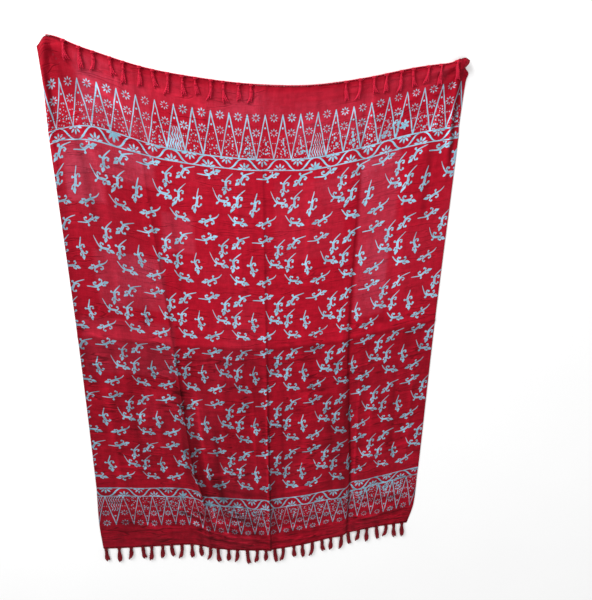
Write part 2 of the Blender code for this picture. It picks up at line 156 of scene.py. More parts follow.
# %% The lengthwise folds, read at stations down the cloth
FOLD_STATIONS = (0.0, 0.215, 0.765, 1.210, 1.330, 1.536)
FOLDS = {
    "quarter": {
        "trough": False,
        "column": (-6.6, -6.5, -5.6, -4.9, -4.3, -4.0),
        "height": (0.002, 0.004, 0.008, 0.017, 0.021, 0.007),
        "left_run": (0.020, 0.020, 0.024, 0.040, 0.050, 0.060),
        "right_run": (0.020, 0.018, 0.016, 0.014, 0.013, 0.045),
        "drop": (0.0, 0.0, 0.0, 0.018, 0.028, 0.028),
        "drop_run": (0.050, 0.050, 0.050, 0.028, 0.026, 0.085),
        "left_intake": 0.008,
        "right_intake": 0.002,
    },
    "middle": {
        "trough": False,
        "column": (0.2, 0.3, 0.45, 0.6, 0.65, 0.7),
        "height": (0.002, 0.003, 0.005, 0.009, 0.011, 0.010),
        "left_run": (0.016, 0.016, 0.016, 0.018, 0.020, 0.020),
        "right_run": (0.016, 0.014, 0.012, 0.010, 0.010, 0.010),
        "drop": (0.0, 0.0, 0.0, 0.0, 0.0, 0.0),
        "drop_run": (0.050, 0.050, 0.050, 0.050, 0.050, 0.050),
        "left_intake": 0.002,
        "right_intake": 0.004,
    },
    "three_quarter": {
        "trough": True,
        "column": (6.1, 6.1, 6.0, 6.6, 6.7, 6.7),
        "height": (0.004, 0.006, 0.010, 0.014, 0.014, 0.010),
        "left_run": (0.014, 0.014, 0.012, 0.012, 0.014, 0.014),
        "right_run": (0.018, 0.018, 0.018, 0.020, 0.020, 0.020),
        "drop": (0.0, 0.0, -0.004, -0.016, -0.022, -0.012),
        "drop_run": (0.050, 0.050, 0.050, 0.025, 0.022, 0.045),
        "left_intake": 0.004,
        "right_intake": 0.004,
    },
}
TROUGH_SPREAD = 4.0
DRAW_SPREAD = 0.006
EDGE_COLUMNS = 2.0


def fold_value(fold, name, along):
    return read_curve(FOLD_STATIONS, FOLDS[fold][name], along)


def fold_height(fold, column, along):
    distance = PITCH * (column - fold_value(fold, "column", along))
    left, right = fold_value(fold, "left_run", along), fold_value(fold, "right_run", along)
    run = np.where(distance < 0, left, right)
    crest = np.exp(-np.abs(distance) / run)
    if FOLDS[fold]["trough"]:
        crest = np.exp(-((distance / (TROUGH_SPREAD * run)) ** 2)) - crest
    return fold_value(fold, "height", along) * crest


print("lengthwise folds:", ", ".join(FOLDS))

# %% Where a place on the cloth lies on the floor
# The upper right corner is gathered: the column and along of each bulge, its reach, and how far it
# moves the cloth's edge in metres.
CORNER_BULGES = (
    ((11.35, 0.000), 0.018, (0.001, 0.011)),
    ((11.75, 0.027), 0.011, (-0.008, 0.000)),
    ((11.75, 0.052), 0.014, (0.004, 0.000)),
)


def beyond_fold(fold, column, along, run):
    """0 left of a fold and 1 right of it, over twice the run in metres."""
    return smooth_step(-1.0, 1.0, PITCH * (column - fold_value(fold, "column", along)) / run)


def plan(column, along):
    x, y = PITCH * column, line_y(column, along)
    gathered = smooth_step(FOLD_STATIONS[1], FOLD_STATIONS[3], along)
    for fold, values in FOLDS.items():
        right = beyond_fold(fold, column, along, fold_value(fold, "right_run", along) + DRAW_SPREAD)
        x = x + gathered * ((1.0 - right) * values["left_intake"] - right * values["right_intake"])
        run = fold_value(fold, "drop_run", along)
        y = y - fold_value(fold, "drop", along) * beyond_fold(fold, column, along, run)
    left = read_curve(LINE_ALONG, LINE_LEFT, along)
    right = read_curve(LINE_ALONG, LINE_RIGHT, along)
    left_in = gathered * sum(values["left_intake"] for values in FOLDS.values())
    right_in = gathered * sum(values["right_intake"] for values in FOLDS.values())
    near_left = 1.0 - smooth_step(LEFT_COLUMN, LEFT_COLUMN + EDGE_COLUMNS, column)
    near_right = smooth_step(RIGHT_COLUMN - EDGE_COLUMNS, RIGHT_COLUMN, column)
    x = x + near_left * (left - (PITCH * LEFT_COLUMN + left_in))
    x = x + near_right * (right - (PITCH * RIGHT_COLUMN - right_in))
    for middle, reach, move in CORNER_BULGES:
        away = np.hypot(PITCH * (column - middle[0]), along - middle[1]) / reach
        x, y = x + move[0] * np.exp(-(away**2)), y + move[1] * np.exp(-(away**2))
    return x + SHIFT_X, y + SHIFT_Y


upper_left = plan(np.array([LEFT_COLUMN]), np.zeros(1))
print("the upper left corner lies at", [round(float(value[0]), 3) for value in upper_left])

# %% [markdown]
# ## Drawn corners and soft rises
# Two corners are drawn up, and the cloth bunches there: short thick pulls start at each corner and
# run out into the cloth. Between the folds the cloth doesn't touch the floor everywhere. A few
# broad rises, less than a centimetre high, give the light something to slide over.

# %% Pulls at the corners: start, end, heights and half widths in metres at the two ends
PULLS = {
    "left lump": ((-11.0, 0.012), (-11.25, 0.040), (0.019, 0.010), (0.016, 0.012)),
    "left upper": ((-10.6, 0.016), (-8.2, 0.060), (0.013, 0.0), (0.011, 0.030)),
    "left slant": ((-10.8, 0.040), (-9.2, 0.170), (0.010, 0.0), (0.010, 0.030)),
    "left side": ((-11.35, 0.040), (-11.3, 0.330), (0.010, 0.003), (0.007, 0.008)),
    "right bunch": ((11.35, 0.012), (11.2, 0.045), (0.022, 0.012), (0.017, 0.013)),
    "right upper": ((11.0, 0.014), (8.6, 0.050), (0.014, 0.0), (0.010, 0.028)),
    "right slant": ((11.1, 0.040), (9.6, 0.160), (0.011, 0.0), (0.010, 0.028)),
    "right side": ((11.30, 0.050), (11.25, 0.330), (0.011, 0.004), (0.009, 0.009)),
}
print(len(PULLS), "pulls at the corners")

# %% Broad rises: column and along of the top, reach across in columns and down in metres, height
RISES = {
    "upper left": (-8.8, 0.42, 1.9, 0.26, 0.008),
    "upper inner left": (-3.0, 0.50, 2.0, 0.30, 0.007),
    "upper inner right": (3.1, 0.40, 1.9, 0.24, 0.008),
    "upper right": (8.9, 0.52, 1.8, 0.30, 0.007),
    "lower left": (-8.4, 1.12, 2.0, 0.24, 0.009),
    "lower inner left": (-2.2, 1.02, 1.6, 0.17, 0.007),
    "lower inner right": (3.4, 1.16, 1.9, 0.26, 0.008),
    "lower right": (9.3, 1.08, 1.6, 0.26, 0.009),
    "hem left": (-8.0, 1.47, 1.3, 0.06, 0.006),
    "hem middle": (-1.6, 1.46, 1.2, 0.07, 0.006),
    "hem right": (9.0, 1.46, 1.4, 0.06, 0.006),
    "margin left": (-5.0, 0.10, 2.2, 0.06, 0.006),
    "margin right": (7.4, 0.11, 1.8, 0.06, 0.006),
}
print(len(RISES), "broad rises")

# %% Creases that run across
CROSS_CREASES = {
    "middle": {"along": 0.765, "first": -11.5, "last": 11.75, "height": 0.0045, "run": 0.012},
    "above hem": {"along": 1.490, "first": -11.5, "last": -4.0, "height": 0.0035, "run": 0.010},
}
CREASE_FADE_OUT = 1.0
CREASE_FADE_IN = 0.5
RESTING_LEVEL = 0.002
print(len(CROSS_CREASES), "creases across")

# %% How high the cloth stands


def cross_height(crease, column, along):
    first, last = crease["first"], crease["last"]
    ends = smooth_step(first - CREASE_FADE_OUT, first + CREASE_FADE_IN, column)
    ends = ends * (1.0 - smooth_step(last - CREASE_FADE_IN, last + CREASE_FADE_OUT, column))
    return ends * crease["height"] * np.exp(-np.abs(along - crease["along"]) / crease["run"])


def along_stroke(start, end, column, along):
    """Share of the way down a straight stroke on the cloth, and the distance from it in metres."""
    run = PITCH * (end[0] - start[0]), end[1] - start[1]
    across, down = PITCH * (column - start[0]), along - start[1]
    share = np.clip((across * run[0] + down * run[1]) / (run[0] ** 2 + run[1] ** 2), 0.0, 1.0)
    return share, np.hypot(across - share * run[0], down - share * run[1])


def fading(share, reach):
    """1 along the middle of a stroke, running out to 0 over a part of it at each end."""
    return smooth_step(0.0, reach, share) * (1.0 - smooth_step(1.0 - reach, 1.0, share))


def pull_height(pull, column, along):
    start, end, heights, halves = pull
    share, distance = along_stroke(start, end, column, along)
    half = halves[0] + share * (halves[1] - halves[0])
    height = heights[0] + share * (heights[1] - heights[0])
    return height * np.exp(-((distance / half) ** 2))


def rise_height(rise, column, along):
    top_column, top_along, reach_across, reach_down, height = rise
    across = (column - top_column) / reach_across
    down = (along - top_along) / reach_down
    return height * np.exp(-(across * across + down * down))


tallest = max(rise[-1] for rise in RISES.values())
print("the tallest broad rise is", round(1000 * tallest, 1), "mm")

# %% The stretch of the upper edge that lies on its own tassels
TUCK_FIRST = 0.15
TUCK_LAST = 4.5
TUCK_BLEND = 0.4
TUCK_LIFT = 0.0046
TUCK_REACH = 0.058
TUCK_RUN_OUT = 0.045


def tuck(column):
    rising = smooth_step(TUCK_FIRST - TUCK_BLEND, TUCK_FIRST, column)
    return rising * (1.0 - smooth_step(TUCK_LAST, TUCK_LAST + TUCK_BLEND, column))


def relief(column, along):
    height = sum(fold_height(fold, column, along) for fold in FOLDS)
    height = height + sum(cross_height(crease, column, along) for crease in CROSS_CREASES.values())
    height = height + sum(rise_height(rise, column, along) for rise in RISES.values())
    height = np.maximum(0.0, height - RESTING_LEVEL)
    pulls = np.max([pull_height(pull, column, along) for pull in PULLS.values()], axis=0)
    height = height + np.maximum(0.0, pulls - RESTING_LEVEL)
    beyond = smooth_step(TUCK_REACH, TUCK_REACH + TUCK_RUN_OUT, along)
    lift = TUCK_LIFT * tuck(column) * (1.0 - beyond)
    return np.where(tuck(column) > 0.0, np.maximum(height, lift), height)


near_hem = np.array([FOLD_STATIONS[-2]])
quarter_crest = relief(fold_value("quarter", "column", near_hem), near_hem)[0]
print("the quarter fold stands", round(1000 * float(quarter_crest), 1), "mm high")

# %% [markdown]
# ## Fine creases
# Between the pressed folds there are many smaller marks of handling: faint lines beside a fold,
# short pleats above the hem where the tassels gather the threads, and slack that runs out from the
# drawn corners. Each is a soft stroke with a height and a half width in millimetres. A minus sign
# makes a trough. They are listed one by one, because even noise looks like paper and not like
# cloth.

# %% Fine creases: start and end on the cloth, height and half width in millimetres
FINE_CREASES = (
    ((-1.3, 0.20), (-1.1, 0.72), 1.2, 7.0),
    ((-5.2, 0.26), (-4.6, 0.70), -0.9, 8.0),
    ((3.2, 0.16), (3.0, 0.62), 1.0, 9.0),
    ((8.7, 0.22), (8.9, 0.70), 1.0, 10.0),
    ((-8.9, 0.24), (-8.6, 0.74), 1.1, 10.0),
    ((-10.4, 0.10), (-8.7, 0.30), 1.6, 9.0),
    ((-9.6, 0.06), (-6.8, 0.13), 1.5, 8.0),
    ((-9.9, 0.16), (-9.4, 0.46), -1.2, 9.0),
    ((10.8, 0.09), (9.3, 0.29), 1.6, 9.0),
    ((10.3, 0.05), (7.6, 0.12), 1.5, 8.0),
    ((10.2, 0.18), (10.0, 0.47), -1.2, 9.0),
    ((-6.2, 0.04), (-2.0, 0.07), 1.2, 9.0),
    ((1.5, 0.10), (6.5, 0.08), 1.1, 9.0),
    ((-3.0, 0.02), (-3.3, 0.15), 1.0, 6.0),
    ((-7.5, 0.02), (-7.3, 0.14), 1.0, 6.0),
    ((6.6, 0.02), (6.4, 0.16), 1.0, 6.0),
    ((-11.2, 0.74), (-8.2, 0.80), 1.2, 6.0),
    ((-10.6, 0.72), (-9.0, 0.69), -0.9, 6.0),
    ((-5.6, 0.79), (-1.6, 0.80), 1.0, 6.0),
    ((-4.8, 0.73), (-2.4, 0.72), -0.9, 6.0),
    ((1.6, 0.79), (5.2, 0.79), 1.1, 6.0),
    ((7.2, 0.74), (11.0, 0.75), 1.1, 6.0),
    ((8.0, 0.80), (10.4, 0.82), -0.9, 6.0),
    ((-4.4, 0.88), (-3.7, 1.32), 2.2, 9.0),
    ((-3.3, 1.00), (-2.8, 1.40), -1.6, 9.0),
    ((-5.6, 1.02), (-5.2, 1.34), -1.3, 8.0),
    ((-3.6, 1.30), (-1.2, 1.44), 2.0, 9.0),
    ((-3.9, 1.38), (-2.0, 1.50), 1.8, 8.0),
    ((-2.4, 1.26), (-1.6, 1.52), 1.3, 7.0),
    ((-0.6, 0.86), (-0.3, 1.36), 1.3, 8.0),
    ((1.5, 0.90), (1.7, 1.42), -1.3, 8.0),
    ((3.0, 0.84), (3.3, 1.28), 1.2, 9.0),
    ((4.8, 0.90), (5.2, 1.40), -1.2, 8.0),
    ((7.8, 0.88), (8.0, 1.38), 1.4, 9.0),
    ((9.2, 0.84), (9.6, 1.30), -1.1, 9.0),
    ((10.6, 0.80), (10.7, 1.36), 1.3, 8.0),
    ((-7.4, 0.86), (-6.6, 1.36), 1.2, 9.0),
    ((-8.8, 0.84), (-8.4, 1.30), -1.0, 9.0),
    ((-10.3, 0.82), (-10.0, 1.38), 1.3, 9.0),
    ((-9.8, 1.40), (-6.6, 1.44), 1.3, 7.0),
    ((-10.8, 1.45), (-8.4, 1.47), -1.1, 6.0),
    ((-7.6, 1.49), (-5.0, 1.47), 1.3, 7.0),
    ((-1.4, 1.47), (0.4, 1.49), 1.1, 6.0),
    ((1.2, 1.44), (3.6, 1.46), 1.1, 7.0),
    ((4.2, 1.49), (6.3, 1.47), 1.2, 6.0),
    ((7.4, 1.43), (10.8, 1.45), 1.2, 7.0),
    ((8.2, 1.48), (11.0, 1.49), -1.0, 6.0),
    ((11.15, 0.03), (11.1, 0.26), 3.4, 3.5),
    ((0.38, 0.84), (0.52, 1.52), 2.0, 3.0),
    ((6.95, 0.84), (7.0, 1.34), 2.0, 4.0),
    ((-4.3, 0.92), (-3.5, 1.36), 1.8, 6.0),
    ((-6.8, 1.385), (-3.8, 1.445), 3.2, 5.0),
    ((-6.0, 1.448), (-1.2, 1.484), 3.4, 5.0),
    ((-5.4, 1.474), (-0.6, 1.506), 3.2, 5.0),
    ((-2.8, 1.480), (2.0, 1.478), 2.6, 5.0),
    ((-4.6, 1.405), (-0.4, 1.452), 2.4, 5.0),
    ((-5.4, 1.30), (-3.2, 1.40), 2.6, 5.0),
    ((-3.9, 1.28), (-3.3, 1.44), 2.2, 4.5),
    ((-6.8, 1.42), (-3.4, 1.40), -2.0, 6.0),
    ((-10.8, 1.50), (-5.6, 1.51), 2.0, 5.0),
    ((0.9, 1.49), (4.6, 1.51), 2.4, 5.0),
    ((1.2, 1.40), (5.8, 1.42), -2.0, 5.0),
    ((1.0, 1.44), (6.4, 1.45), 2.2, 5.0),
    ((6.9, 1.46), (11.2, 1.50), 2.4, 5.0),
    ((6.9, 1.49), (11.2, 1.46), -2.0, 5.0),
    ((7.0, 1.40), (11.0, 1.41), -1.8, 5.0),
    ((1.0, 1.30), (5.6, 1.27), 1.8, 5.0),
    ((-0.2, 1.20), (-4.2, 1.24), 1.8, 5.0),
    ((1.2, 1.16), (5.8, 1.13), -1.7, 5.0),
    ((7.0, 1.22), (11.2, 1.20), 1.8, 5.0),
    ((7.6, 1.06), (10.4, 1.025), -1.2, 5.0),
    ((-9.6, 1.455), (-7.4, 1.475), 1.8, 8.0),
    ((3.2, 1.455), (5.6, 1.475), 2.6, 5.0),
    ((2.2, 1.500), (6.2, 1.515), 2.4, 4.0),
    ((7.0, 1.475), (9.4, 1.470), 2.6, 4.0),
    ((8.8, 1.495), (11.4, 1.505), 2.4, 4.0),
    ((-10.8, 1.22), (-6.2, 1.25), 1.7, 5.0),
    ((-10.6, 1.05), (-6.6, 1.02), 1.6, 5.0),
)
LARGEST_FINE = 0.0034
CREASE_RUN_OUT = 0.25


def fine_height(column, along):
    height = np.zeros_like(column)
    for start, end, millimetres, half in FINE_CREASES:
        share, distance = along_stroke(start, end, column, along)
        fade = fading(share, CREASE_RUN_OUT)
        height += 0.001 * millimetres * fade * np.exp(-((distance / (0.001 * half)) ** 2))
    return height


print(len(FINE_CREASES), "fine creases")

# %% Small gathers above the tassels, ghosts of the tucked ones, and the turned edges
TASSELS = {
    "fringe_bottom": {
        "along": CLOTH_LENGTH, "count": 32, "first": -11.3, "last": 11.25, "length": 0.056,
    },
    "fringe_top": {"along": 0.0, "count": 29, "first": -10.0, "last": 11.0, "length": 0.047},
}
TASSEL_SWAY = 0.05
TASSEL_SWAY_STEP = 2.7
GATHER_DEPTH = 0.0007
GATHER_REACH = 0.030
GATHER_SPACING = 0.017
GHOST_HEIGHT = 0.0014
GHOST_HALF = 0.0042
GHOST_RUN_OUT = 0.015
EDGE_TURN = 0.006
EDGE_FLAT_SHARE = 0.6
EDGE_RISE = 0.0005


def tassel_columns(tassels):
    spacing = (tassels["last"] - tassels["first"]) / (tassels["count"] - 1)
    number = np.arange(tassels["count"])
    return tassels["first"] + spacing * number + TASSEL_SWAY * np.sin(TASSEL_SWAY_STEP * number)


def near_tassels(column, tassels):
    """Distance in metres from the nearest tassel of a row, across the cloth."""
    return PITCH * np.min(np.abs(column[:, None] - tassel_columns(tassels)[None, :]), axis=1)


def edge_detail(column, along):
    height = np.zeros_like(column)
    for tassels in TASSELS.values():
        away = np.abs(along - tassels["along"])
        wave = np.cos(np.pi * np.clip(near_tassels(column, tassels) / GATHER_SPACING, 0.0, 1.0))
        height += GATHER_DEPTH * wave * np.exp(-((away / GATHER_REACH) ** 2))
    near = near_tassels(column, TASSELS["fringe_top"])
    ghost = np.exp(-((near / GHOST_HALF) ** 2)) * tuck(column)
    beyond = smooth_step(TUCK_REACH - GHOST_RUN_OUT, TUCK_REACH, along)
    height += GHOST_HEIGHT * ghost * (1.0 - beyond)
    side = PITCH * np.minimum(column - LEFT_COLUMN, RIGHT_COLUMN - column)
    height += EDGE_RISE * (1.0 - smooth_step(EDGE_FLAT_SHARE * EDGE_TURN, EDGE_TURN, side))
    return height


print(sum(tassels["count"] for tassels in TASSELS.values()), "tassels in two rows")

# %% [markdown]
# ## The cloth
# A grid of quads is laid over the rectangle, with more lines near the pressed folds, where the form
# turns fastest. A second skin under it, not a millimetre away, closes it into a thin shell, as real
# cloth has two faces. The grid's own coordinates, in metres of flat cloth, become its UV map, so
# the print follows the cloth through every fold.

# %% Lay the grid over the folds
CELLS_A_PANEL = 44
CROWDING = 0.75
ROWS_A_HALF = 115
HALF_WAY = CROSS_CREASES["middle"]["along"]


def crowded(count):
    """Shares from 0 to 1, closer together at both ends."""
    share = np.linspace(0.0, 1.0, count + 1)
    return share - CROWDING * np.sin(2 * np.pi * share) / (2 * np.pi)


upper_rows = np.linspace(0.0, HALF_WAY, ROWS_A_HALF)
lower_rows = np.linspace(HALF_WAY, CLOTH_LENGTH, ROWS_A_HALF + 1)
rows = np.concatenate([upper_rows, lower_rows[1:]])
guides = [np.full_like(rows, LEFT_COLUMN)]
guides += [fold_value(fold, "column", rows) for fold in FOLDS]
guides += [np.full_like(rows, RIGHT_COLUMN)]
lines = [guides[0]]
for left, right in zip(guides, guides[1:]):
    lines += [left + share * (right - left) for share in crowded(CELLS_A_PANEL)[1:]]
columns = np.array(lines).T
alongs = np.repeat(rows[:, None], columns.shape[1], axis=1)
print("the grid has", columns.shape[0], "rows and", columns.shape[1], "lines")

# %% Stand the cloth on its own creases
flat_columns, flat_alongs = columns.ravel(), alongs.ravel()
cloth_x, cloth_y = plan(flat_columns, flat_alongs)
under = relief(flat_columns, flat_alongs)
fine = np.clip(fine_height(flat_columns, flat_alongs), -LARGEST_FINE, LARGEST_FINE)
under = np.maximum(0.0, under + fine + edge_detail(flat_columns, flat_alongs))
upper_face = np.stack([cloth_x, cloth_y, under + CLOTH_THICKNESS], axis=1)
lower_face = np.stack([cloth_x, cloth_y, under], axis=1)
print("the highest place is", round(1000 * float(under.max()), 1), "mm over the floor")

# %% Thin places of the cloth: column and along of two corners, and how pale
SHEER_PLACES = (
    ((-9.6, 0.045), (-5.8, 0.175), 0.50),
    ((-10.9, 0.205), (-5.85, 0.300), 0.55),
    ((-10.9, 0.290), (-8.7, 0.370), 0.45),
    ((-5.65, 0.360), (-3.8, 0.470), 0.60),
    ((-9.8, 0.500), (-5.75, 0.660), 0.55),
    ((-11.2, 0.700), (-5.4, 0.880), 0.40),
    ((6.1, 0.220), (8.4, 0.420), 0.70),
    ((6.15, 0.420), (8.1, 0.700), 0.45),
    ((2.1, 0.040), (6.6, 0.150), 0.45),
    ((-9.6, 0.014), (10.6, 0.085), 0.26),
    ((1.0, 0.250), (5.2, 0.480), 0.22),
)
SHEER_EDGE = 0.012
sheer = np.zeros_like(flat_columns)
for first, last, pale in SHEER_PLACES:
    inside = np.minimum(
        PITCH * np.minimum(flat_columns - first[0], last[0] - flat_columns),
        np.minimum(flat_alongs - first[1], last[1] - flat_alongs),
    )
    sheer = np.maximum(sheer, pale * smooth_step(-SHEER_EDGE / 2, SHEER_EDGE / 2, inside))
print(len(SHEER_PLACES), "thin places")

# %% Where the print has bled: column and along of the middle, half sizes in metres, and how strong
STAINS = (
    ((-3.2, 1.345), (0.060, 0.030), 0.35),
    ((-1.6, 1.36), (0.070, 0.030), 0.35),
    ((8.0, 1.355), (0.030, 0.030), 0.6),
    ((9.3, 1.350), (0.035, 0.025), 0.55),
    ((8.1, 0.150), (0.020, 0.035), 0.75),
    ((-4.6, 0.165), (0.025, 0.025), 0.35),
)
STAIN_RIM = (0.5, 1.2)
stain = np.zeros_like(flat_columns)
for middle, half, strong in STAINS:
    across, down = PITCH * (flat_columns - middle[0]), flat_alongs - middle[1]
    away = np.hypot(across / half[0], down / half[1])
    stain = np.maximum(stain, strong * (1.0 - smooth_step(*STAIN_RIM, away)))
print(len(STAINS), "places where the print has bled")

# %% Painted shade on the folds: how deep it lies in each fold, and how far from it in metres
PAINTED_FOLD_SHADE = {
    "quarter": {"shade": (0.35, 0.45, 0.7, 0.9, 0.8, 0.0), "aside": 0.004, "spread": 0.009},
    "middle": {"shade": (0.1, 0.3, 0.7, 1.2, 1.4, 1.2), "aside": 0.003, "spread": 0.005},
    "three_quarter": {"shade": (0.3, 0.5, 1.0, 1.3, 1.3, 1.0), "aside": 0.0, "spread": 0.006},
}
print("pressed lines along", ", ".join(PAINTED_FOLD_SHADE))

# %% [markdown]
# ## Painted shade
# A shallow crease throws less shade under soft light than the eye expects, so part of the shade is
# painted into the cloth's colour and kept with its points: a line of painted shade in each fold, a
# painted shadow beside each fine crease, soft strokes of painted shade in the pockets and the drawn
# corners, painted shadow round the upper tassels, and dark rims of painted shade. The top of a fine
# crease is lightened as a painted highlight, in step with its height, and a trough is darkened.

# %% Soft strokes of painted shade: start and end on the cloth, spread in metres, and depth
SHADES = (
    ((-5.9, 0.80), (-4.9, 1.24), 0.010, 0.80),
    ((-5.6, 0.86), (-4.1, 1.34), 0.016, 0.70),
    ((-4.9, 1.02), (-3.6, 1.40), 0.020, 0.90),
    ((-4.2, 1.18), (-1.6, 1.43), 0.032, 0.95),
    ((-3.8, 1.36), (0.4, 1.43), 0.024, 0.80),
    ((-4.4, 1.285), (1.6, 1.300), 0.014, 0.75),
    ((-6.4, 1.405), (-4.0, 1.456), 0.005, 0.90),
    ((-4.6, 1.445), (0.6, 1.470), 0.006, 1.00),
    ((-5.6, 1.464), (-1.6, 1.500), 0.005, 0.80),
    ((-6.2, 1.486), (-0.4, 1.516), 0.006, 0.90),
    ((-1.4, 1.500), (2.6, 1.508), 0.006, 0.95),
    ((-1.2, 1.452), (1.0, 1.488), 0.008, 0.80),
    ((1.4, 1.470), (5.9, 1.492), 0.006, 0.85),
    ((2.0, 1.502), (6.6, 1.520), 0.005, 0.80),
    ((6.2, 1.462), (11.0, 1.490), 0.006, 0.75),
    ((6.8, 1.500), (10.4, 1.516), 0.005, 0.70),
    ((-5.2, 0.98), (-5.0, 1.36), 0.006, 0.80),
    ((0.95, 1.10), (1.15, 1.56), 0.020, 0.80),
    ((5.9, 0.80), (6.1, 1.50), 0.024, 0.80),
    ((5.5, 1.02), (5.7, 1.42), 0.030, 0.45),
    ((6.4, 0.70), (11.9, 0.80), 0.012, 0.55),
    ((-2.6, 0.74), (5.6, 0.80), 0.010, 0.45),
    ((-8.8, 0.02), (-8.8, 0.90), 0.140, 0.52),
    ((-11.5, 0.12), (-11.5, 1.00), 0.036, 0.75),
    ((5.0, 0.060), (12.8, 0.040), 0.050, 0.28),
    ((-11.5, 0.02), (-10.1, 0.06), 0.006, 0.80),
    ((-11.4, 0.02), (-10.9, 0.20), 0.007, 0.90),
    ((-11.0, 0.02), (-9.6, 0.14), 0.008, 0.50),
    ((-12.6, -0.03), (-8.6, 0.14), 0.042, 0.52),
    ((11.6, 0.03), (10.2, 0.05), 0.006, 1.00),
    ((11.5, 0.02), (10.9, 0.16), 0.007, 1.00),
    ((11.2, 0.02), (9.8, 0.13), 0.008, 0.70),
    ((11.42, -0.03), (11.32, 0.34), 0.007, 1.25),
    ((11.35, -0.020), (11.05, 0.045), 0.005, 1.20),
    ((12.10, 0.010), (11.20, 0.040), 0.005, 1.30),
    ((10.80, 0.030), (12.00, 0.070), 0.004, 1.00),
)
print(len(SHADES), "soft strokes of shade")

# %% Gather the painted shade into one value for each point
# Lightens crease tops and darkens troughs in step with their height: painted highlight and shade.
PAINTED_CREASE_LIGHT = 240.0
SHADOW_ASIDE, SHADOW_SPREAD, SHADOW_DEPTH = 0.0062, 0.0042, 0.26
STROKE_RUN_OUT = 0.3
CROSS_FOLD_ASIDE, CROSS_FOLD_SPREAD, CROSS_FOLD_DEPTH = 0.003, 0.006, 0.75
HALO_SPREAD, HALO_DEPTH, HALO_REACH = 0.008, 0.2, (0.045, 0.060)
SIDE_SPREAD, SIDE_DEPTH = 0.008, 0.3
UPPER_RIM_SPREAD, UPPER_RIM_DEPTH = 0.0055, 1.1
painted_shade = np.zeros_like(flat_columns)


def darken(depth, distance, spread):
    """Adds painted shade, deepest at distance 0. The darkest painted shade at a place counts."""
    np.maximum(painted_shade, depth * np.exp(-((distance / spread) ** 2)), out=painted_shade)


# Painted shade along each lengthwise fold.
for fold, values in PAINTED_FOLD_SHADE.items():
    distance = PITCH * (flat_columns - fold_value(fold, "column", flat_alongs)) - values["aside"]
    darken(read_curve(FOLD_STATIONS, values["shade"], flat_alongs), distance, values["spread"])
# Painted shade along the crease across the middle.
darken(CROSS_FOLD_DEPTH, flat_alongs - HALF_WAY - CROSS_FOLD_ASIDE, CROSS_FOLD_SPREAD)
# A painted shadow beside each fine crease, offset to the right and down the cloth.
beside, under_crease = flat_columns - SHADOW_ASIDE / PITCH, flat_alongs - SHADOW_ASIDE
for start, end, millimetres, half in FINE_CREASES:
    share, distance = along_stroke(start, end, beside, under_crease)
    depth = SHADOW_DEPTH * abs(millimetres) * fading(share, STROKE_RUN_OUT)
    darken(depth, distance, SHADOW_SPREAD)
# Soft strokes of painted shade in the pockets and the drawn corners.
for start, end, spread, depth in SHADES:
    share, distance = along_stroke(start, end, flat_columns, flat_alongs)
    darken(depth * fading(share, STROKE_RUN_OUT), distance, spread)
# Painted shadow round the upper tassels.
near = near_tassels(flat_columns, TASSELS["fringe_top"])
darken(HALO_DEPTH * (1.0 - smooth_step(*HALO_REACH, flat_alongs)), near, HALO_SPREAD)
# Painted shade along both side edges.
side = PITCH * np.minimum(flat_columns - LEFT_COLUMN, RIGHT_COLUMN - flat_columns)
darken(SIDE_DEPTH, side, SIDE_SPREAD)
# Painted shade along the upper edge.
darken(UPPER_RIM_DEPTH, flat_alongs, UPPER_RIM_SPREAD)
print("the mean shade is", round(float(painted_shade.mean()), 3))

# %% Close it into a thin shell


def write_uv(mesh, name, metres):
    """Gives each corner of each face the flat place of its point."""
    corner = np.zeros(len(mesh.loops), np.int32)
    mesh.loops.foreach_get("vertex_index", corner)
    layer = mesh.uv_layers.new(name=name)
    layer.data.foreach_set("uv", metres[corner].ravel().astype(np.float32))


def show(name, data):
    made = bpy.data.objects.new(name, data)
    bpy.context.scene.collection.objects.link(made)
    return made


def shell_faces(row_count, line_count):
    number = np.arange(row_count * line_count).reshape(row_count, line_count)
    corners = [number[:-1, :-1], number[1:, :-1], number[1:, 1:], number[:-1, 1:]]
    top = np.stack(corners, axis=-1).reshape(-1, 4)
    bottom = top[:, ::-1] + number.size
    rim = np.concatenate([number[0, ::-1], number[1:, 0], number[-1, 1:], number[-2:0:-1, -1]])
    following = np.roll(rim, -1)
    sides = np.stack([rim, rim + number.size, following + number.size, following], axis=-1)
    return top, bottom, sides


top_faces, bottom_faces, side_faces = shell_faces(*columns.shape)
cloth_mesh = bpy.data.meshes.new("sarong_cloth")
shell_points = np.concatenate([upper_face, lower_face])
all_faces = np.concatenate([top_faces, bottom_faces, side_faces])
cloth_mesh.from_pydata(shell_points.tolist(), [], all_faces.tolist())
metres = np.tile(np.stack([PITCH * flat_columns, flat_alongs], axis=1), (2, 1))
write_uv(cloth_mesh, "cloth_metres", metres)
# Kept with each point: the cloth's thin places and bled print, the painted shade, and the painted
# highlight and shade of the fine creases.
stored = {"sheer": sheer, "painted_shade": painted_shade, "painted_crease_light": PAINTED_CREASE_LIGHT * fine, "stain": stain}
for name, values in stored.items():
    layer = cloth_mesh.attributes.new(name, "FLOAT", "POINT")
    layer.data.foreach_set("value", np.tile(values, 2).astype(np.float32))
below = np.zeros(len(cloth_mesh.polygons), np.int32)
below[len(top_faces) :] = 1
cloth_mesh.polygons.foreach_set("material_index", below)
cloth_mesh.shade_smooth()
cloth = show("sarong_cloth", cloth_mesh)
print("the cloth has", 2 * len(cloth_mesh.polygons), "triangles")

# %% [markdown]
# ## Arithmetic for shaders
# The print is drawn by arithmetic on the cloth's own coordinates: every motif is a distance to a
# few simple strokes. Wiring that by hand takes hundreds of Math nodes. A small class lets a formula
# be written as a formula, and it adds the nodes as it goes.

# %% A value in a node tree, with ordinary arithmetic


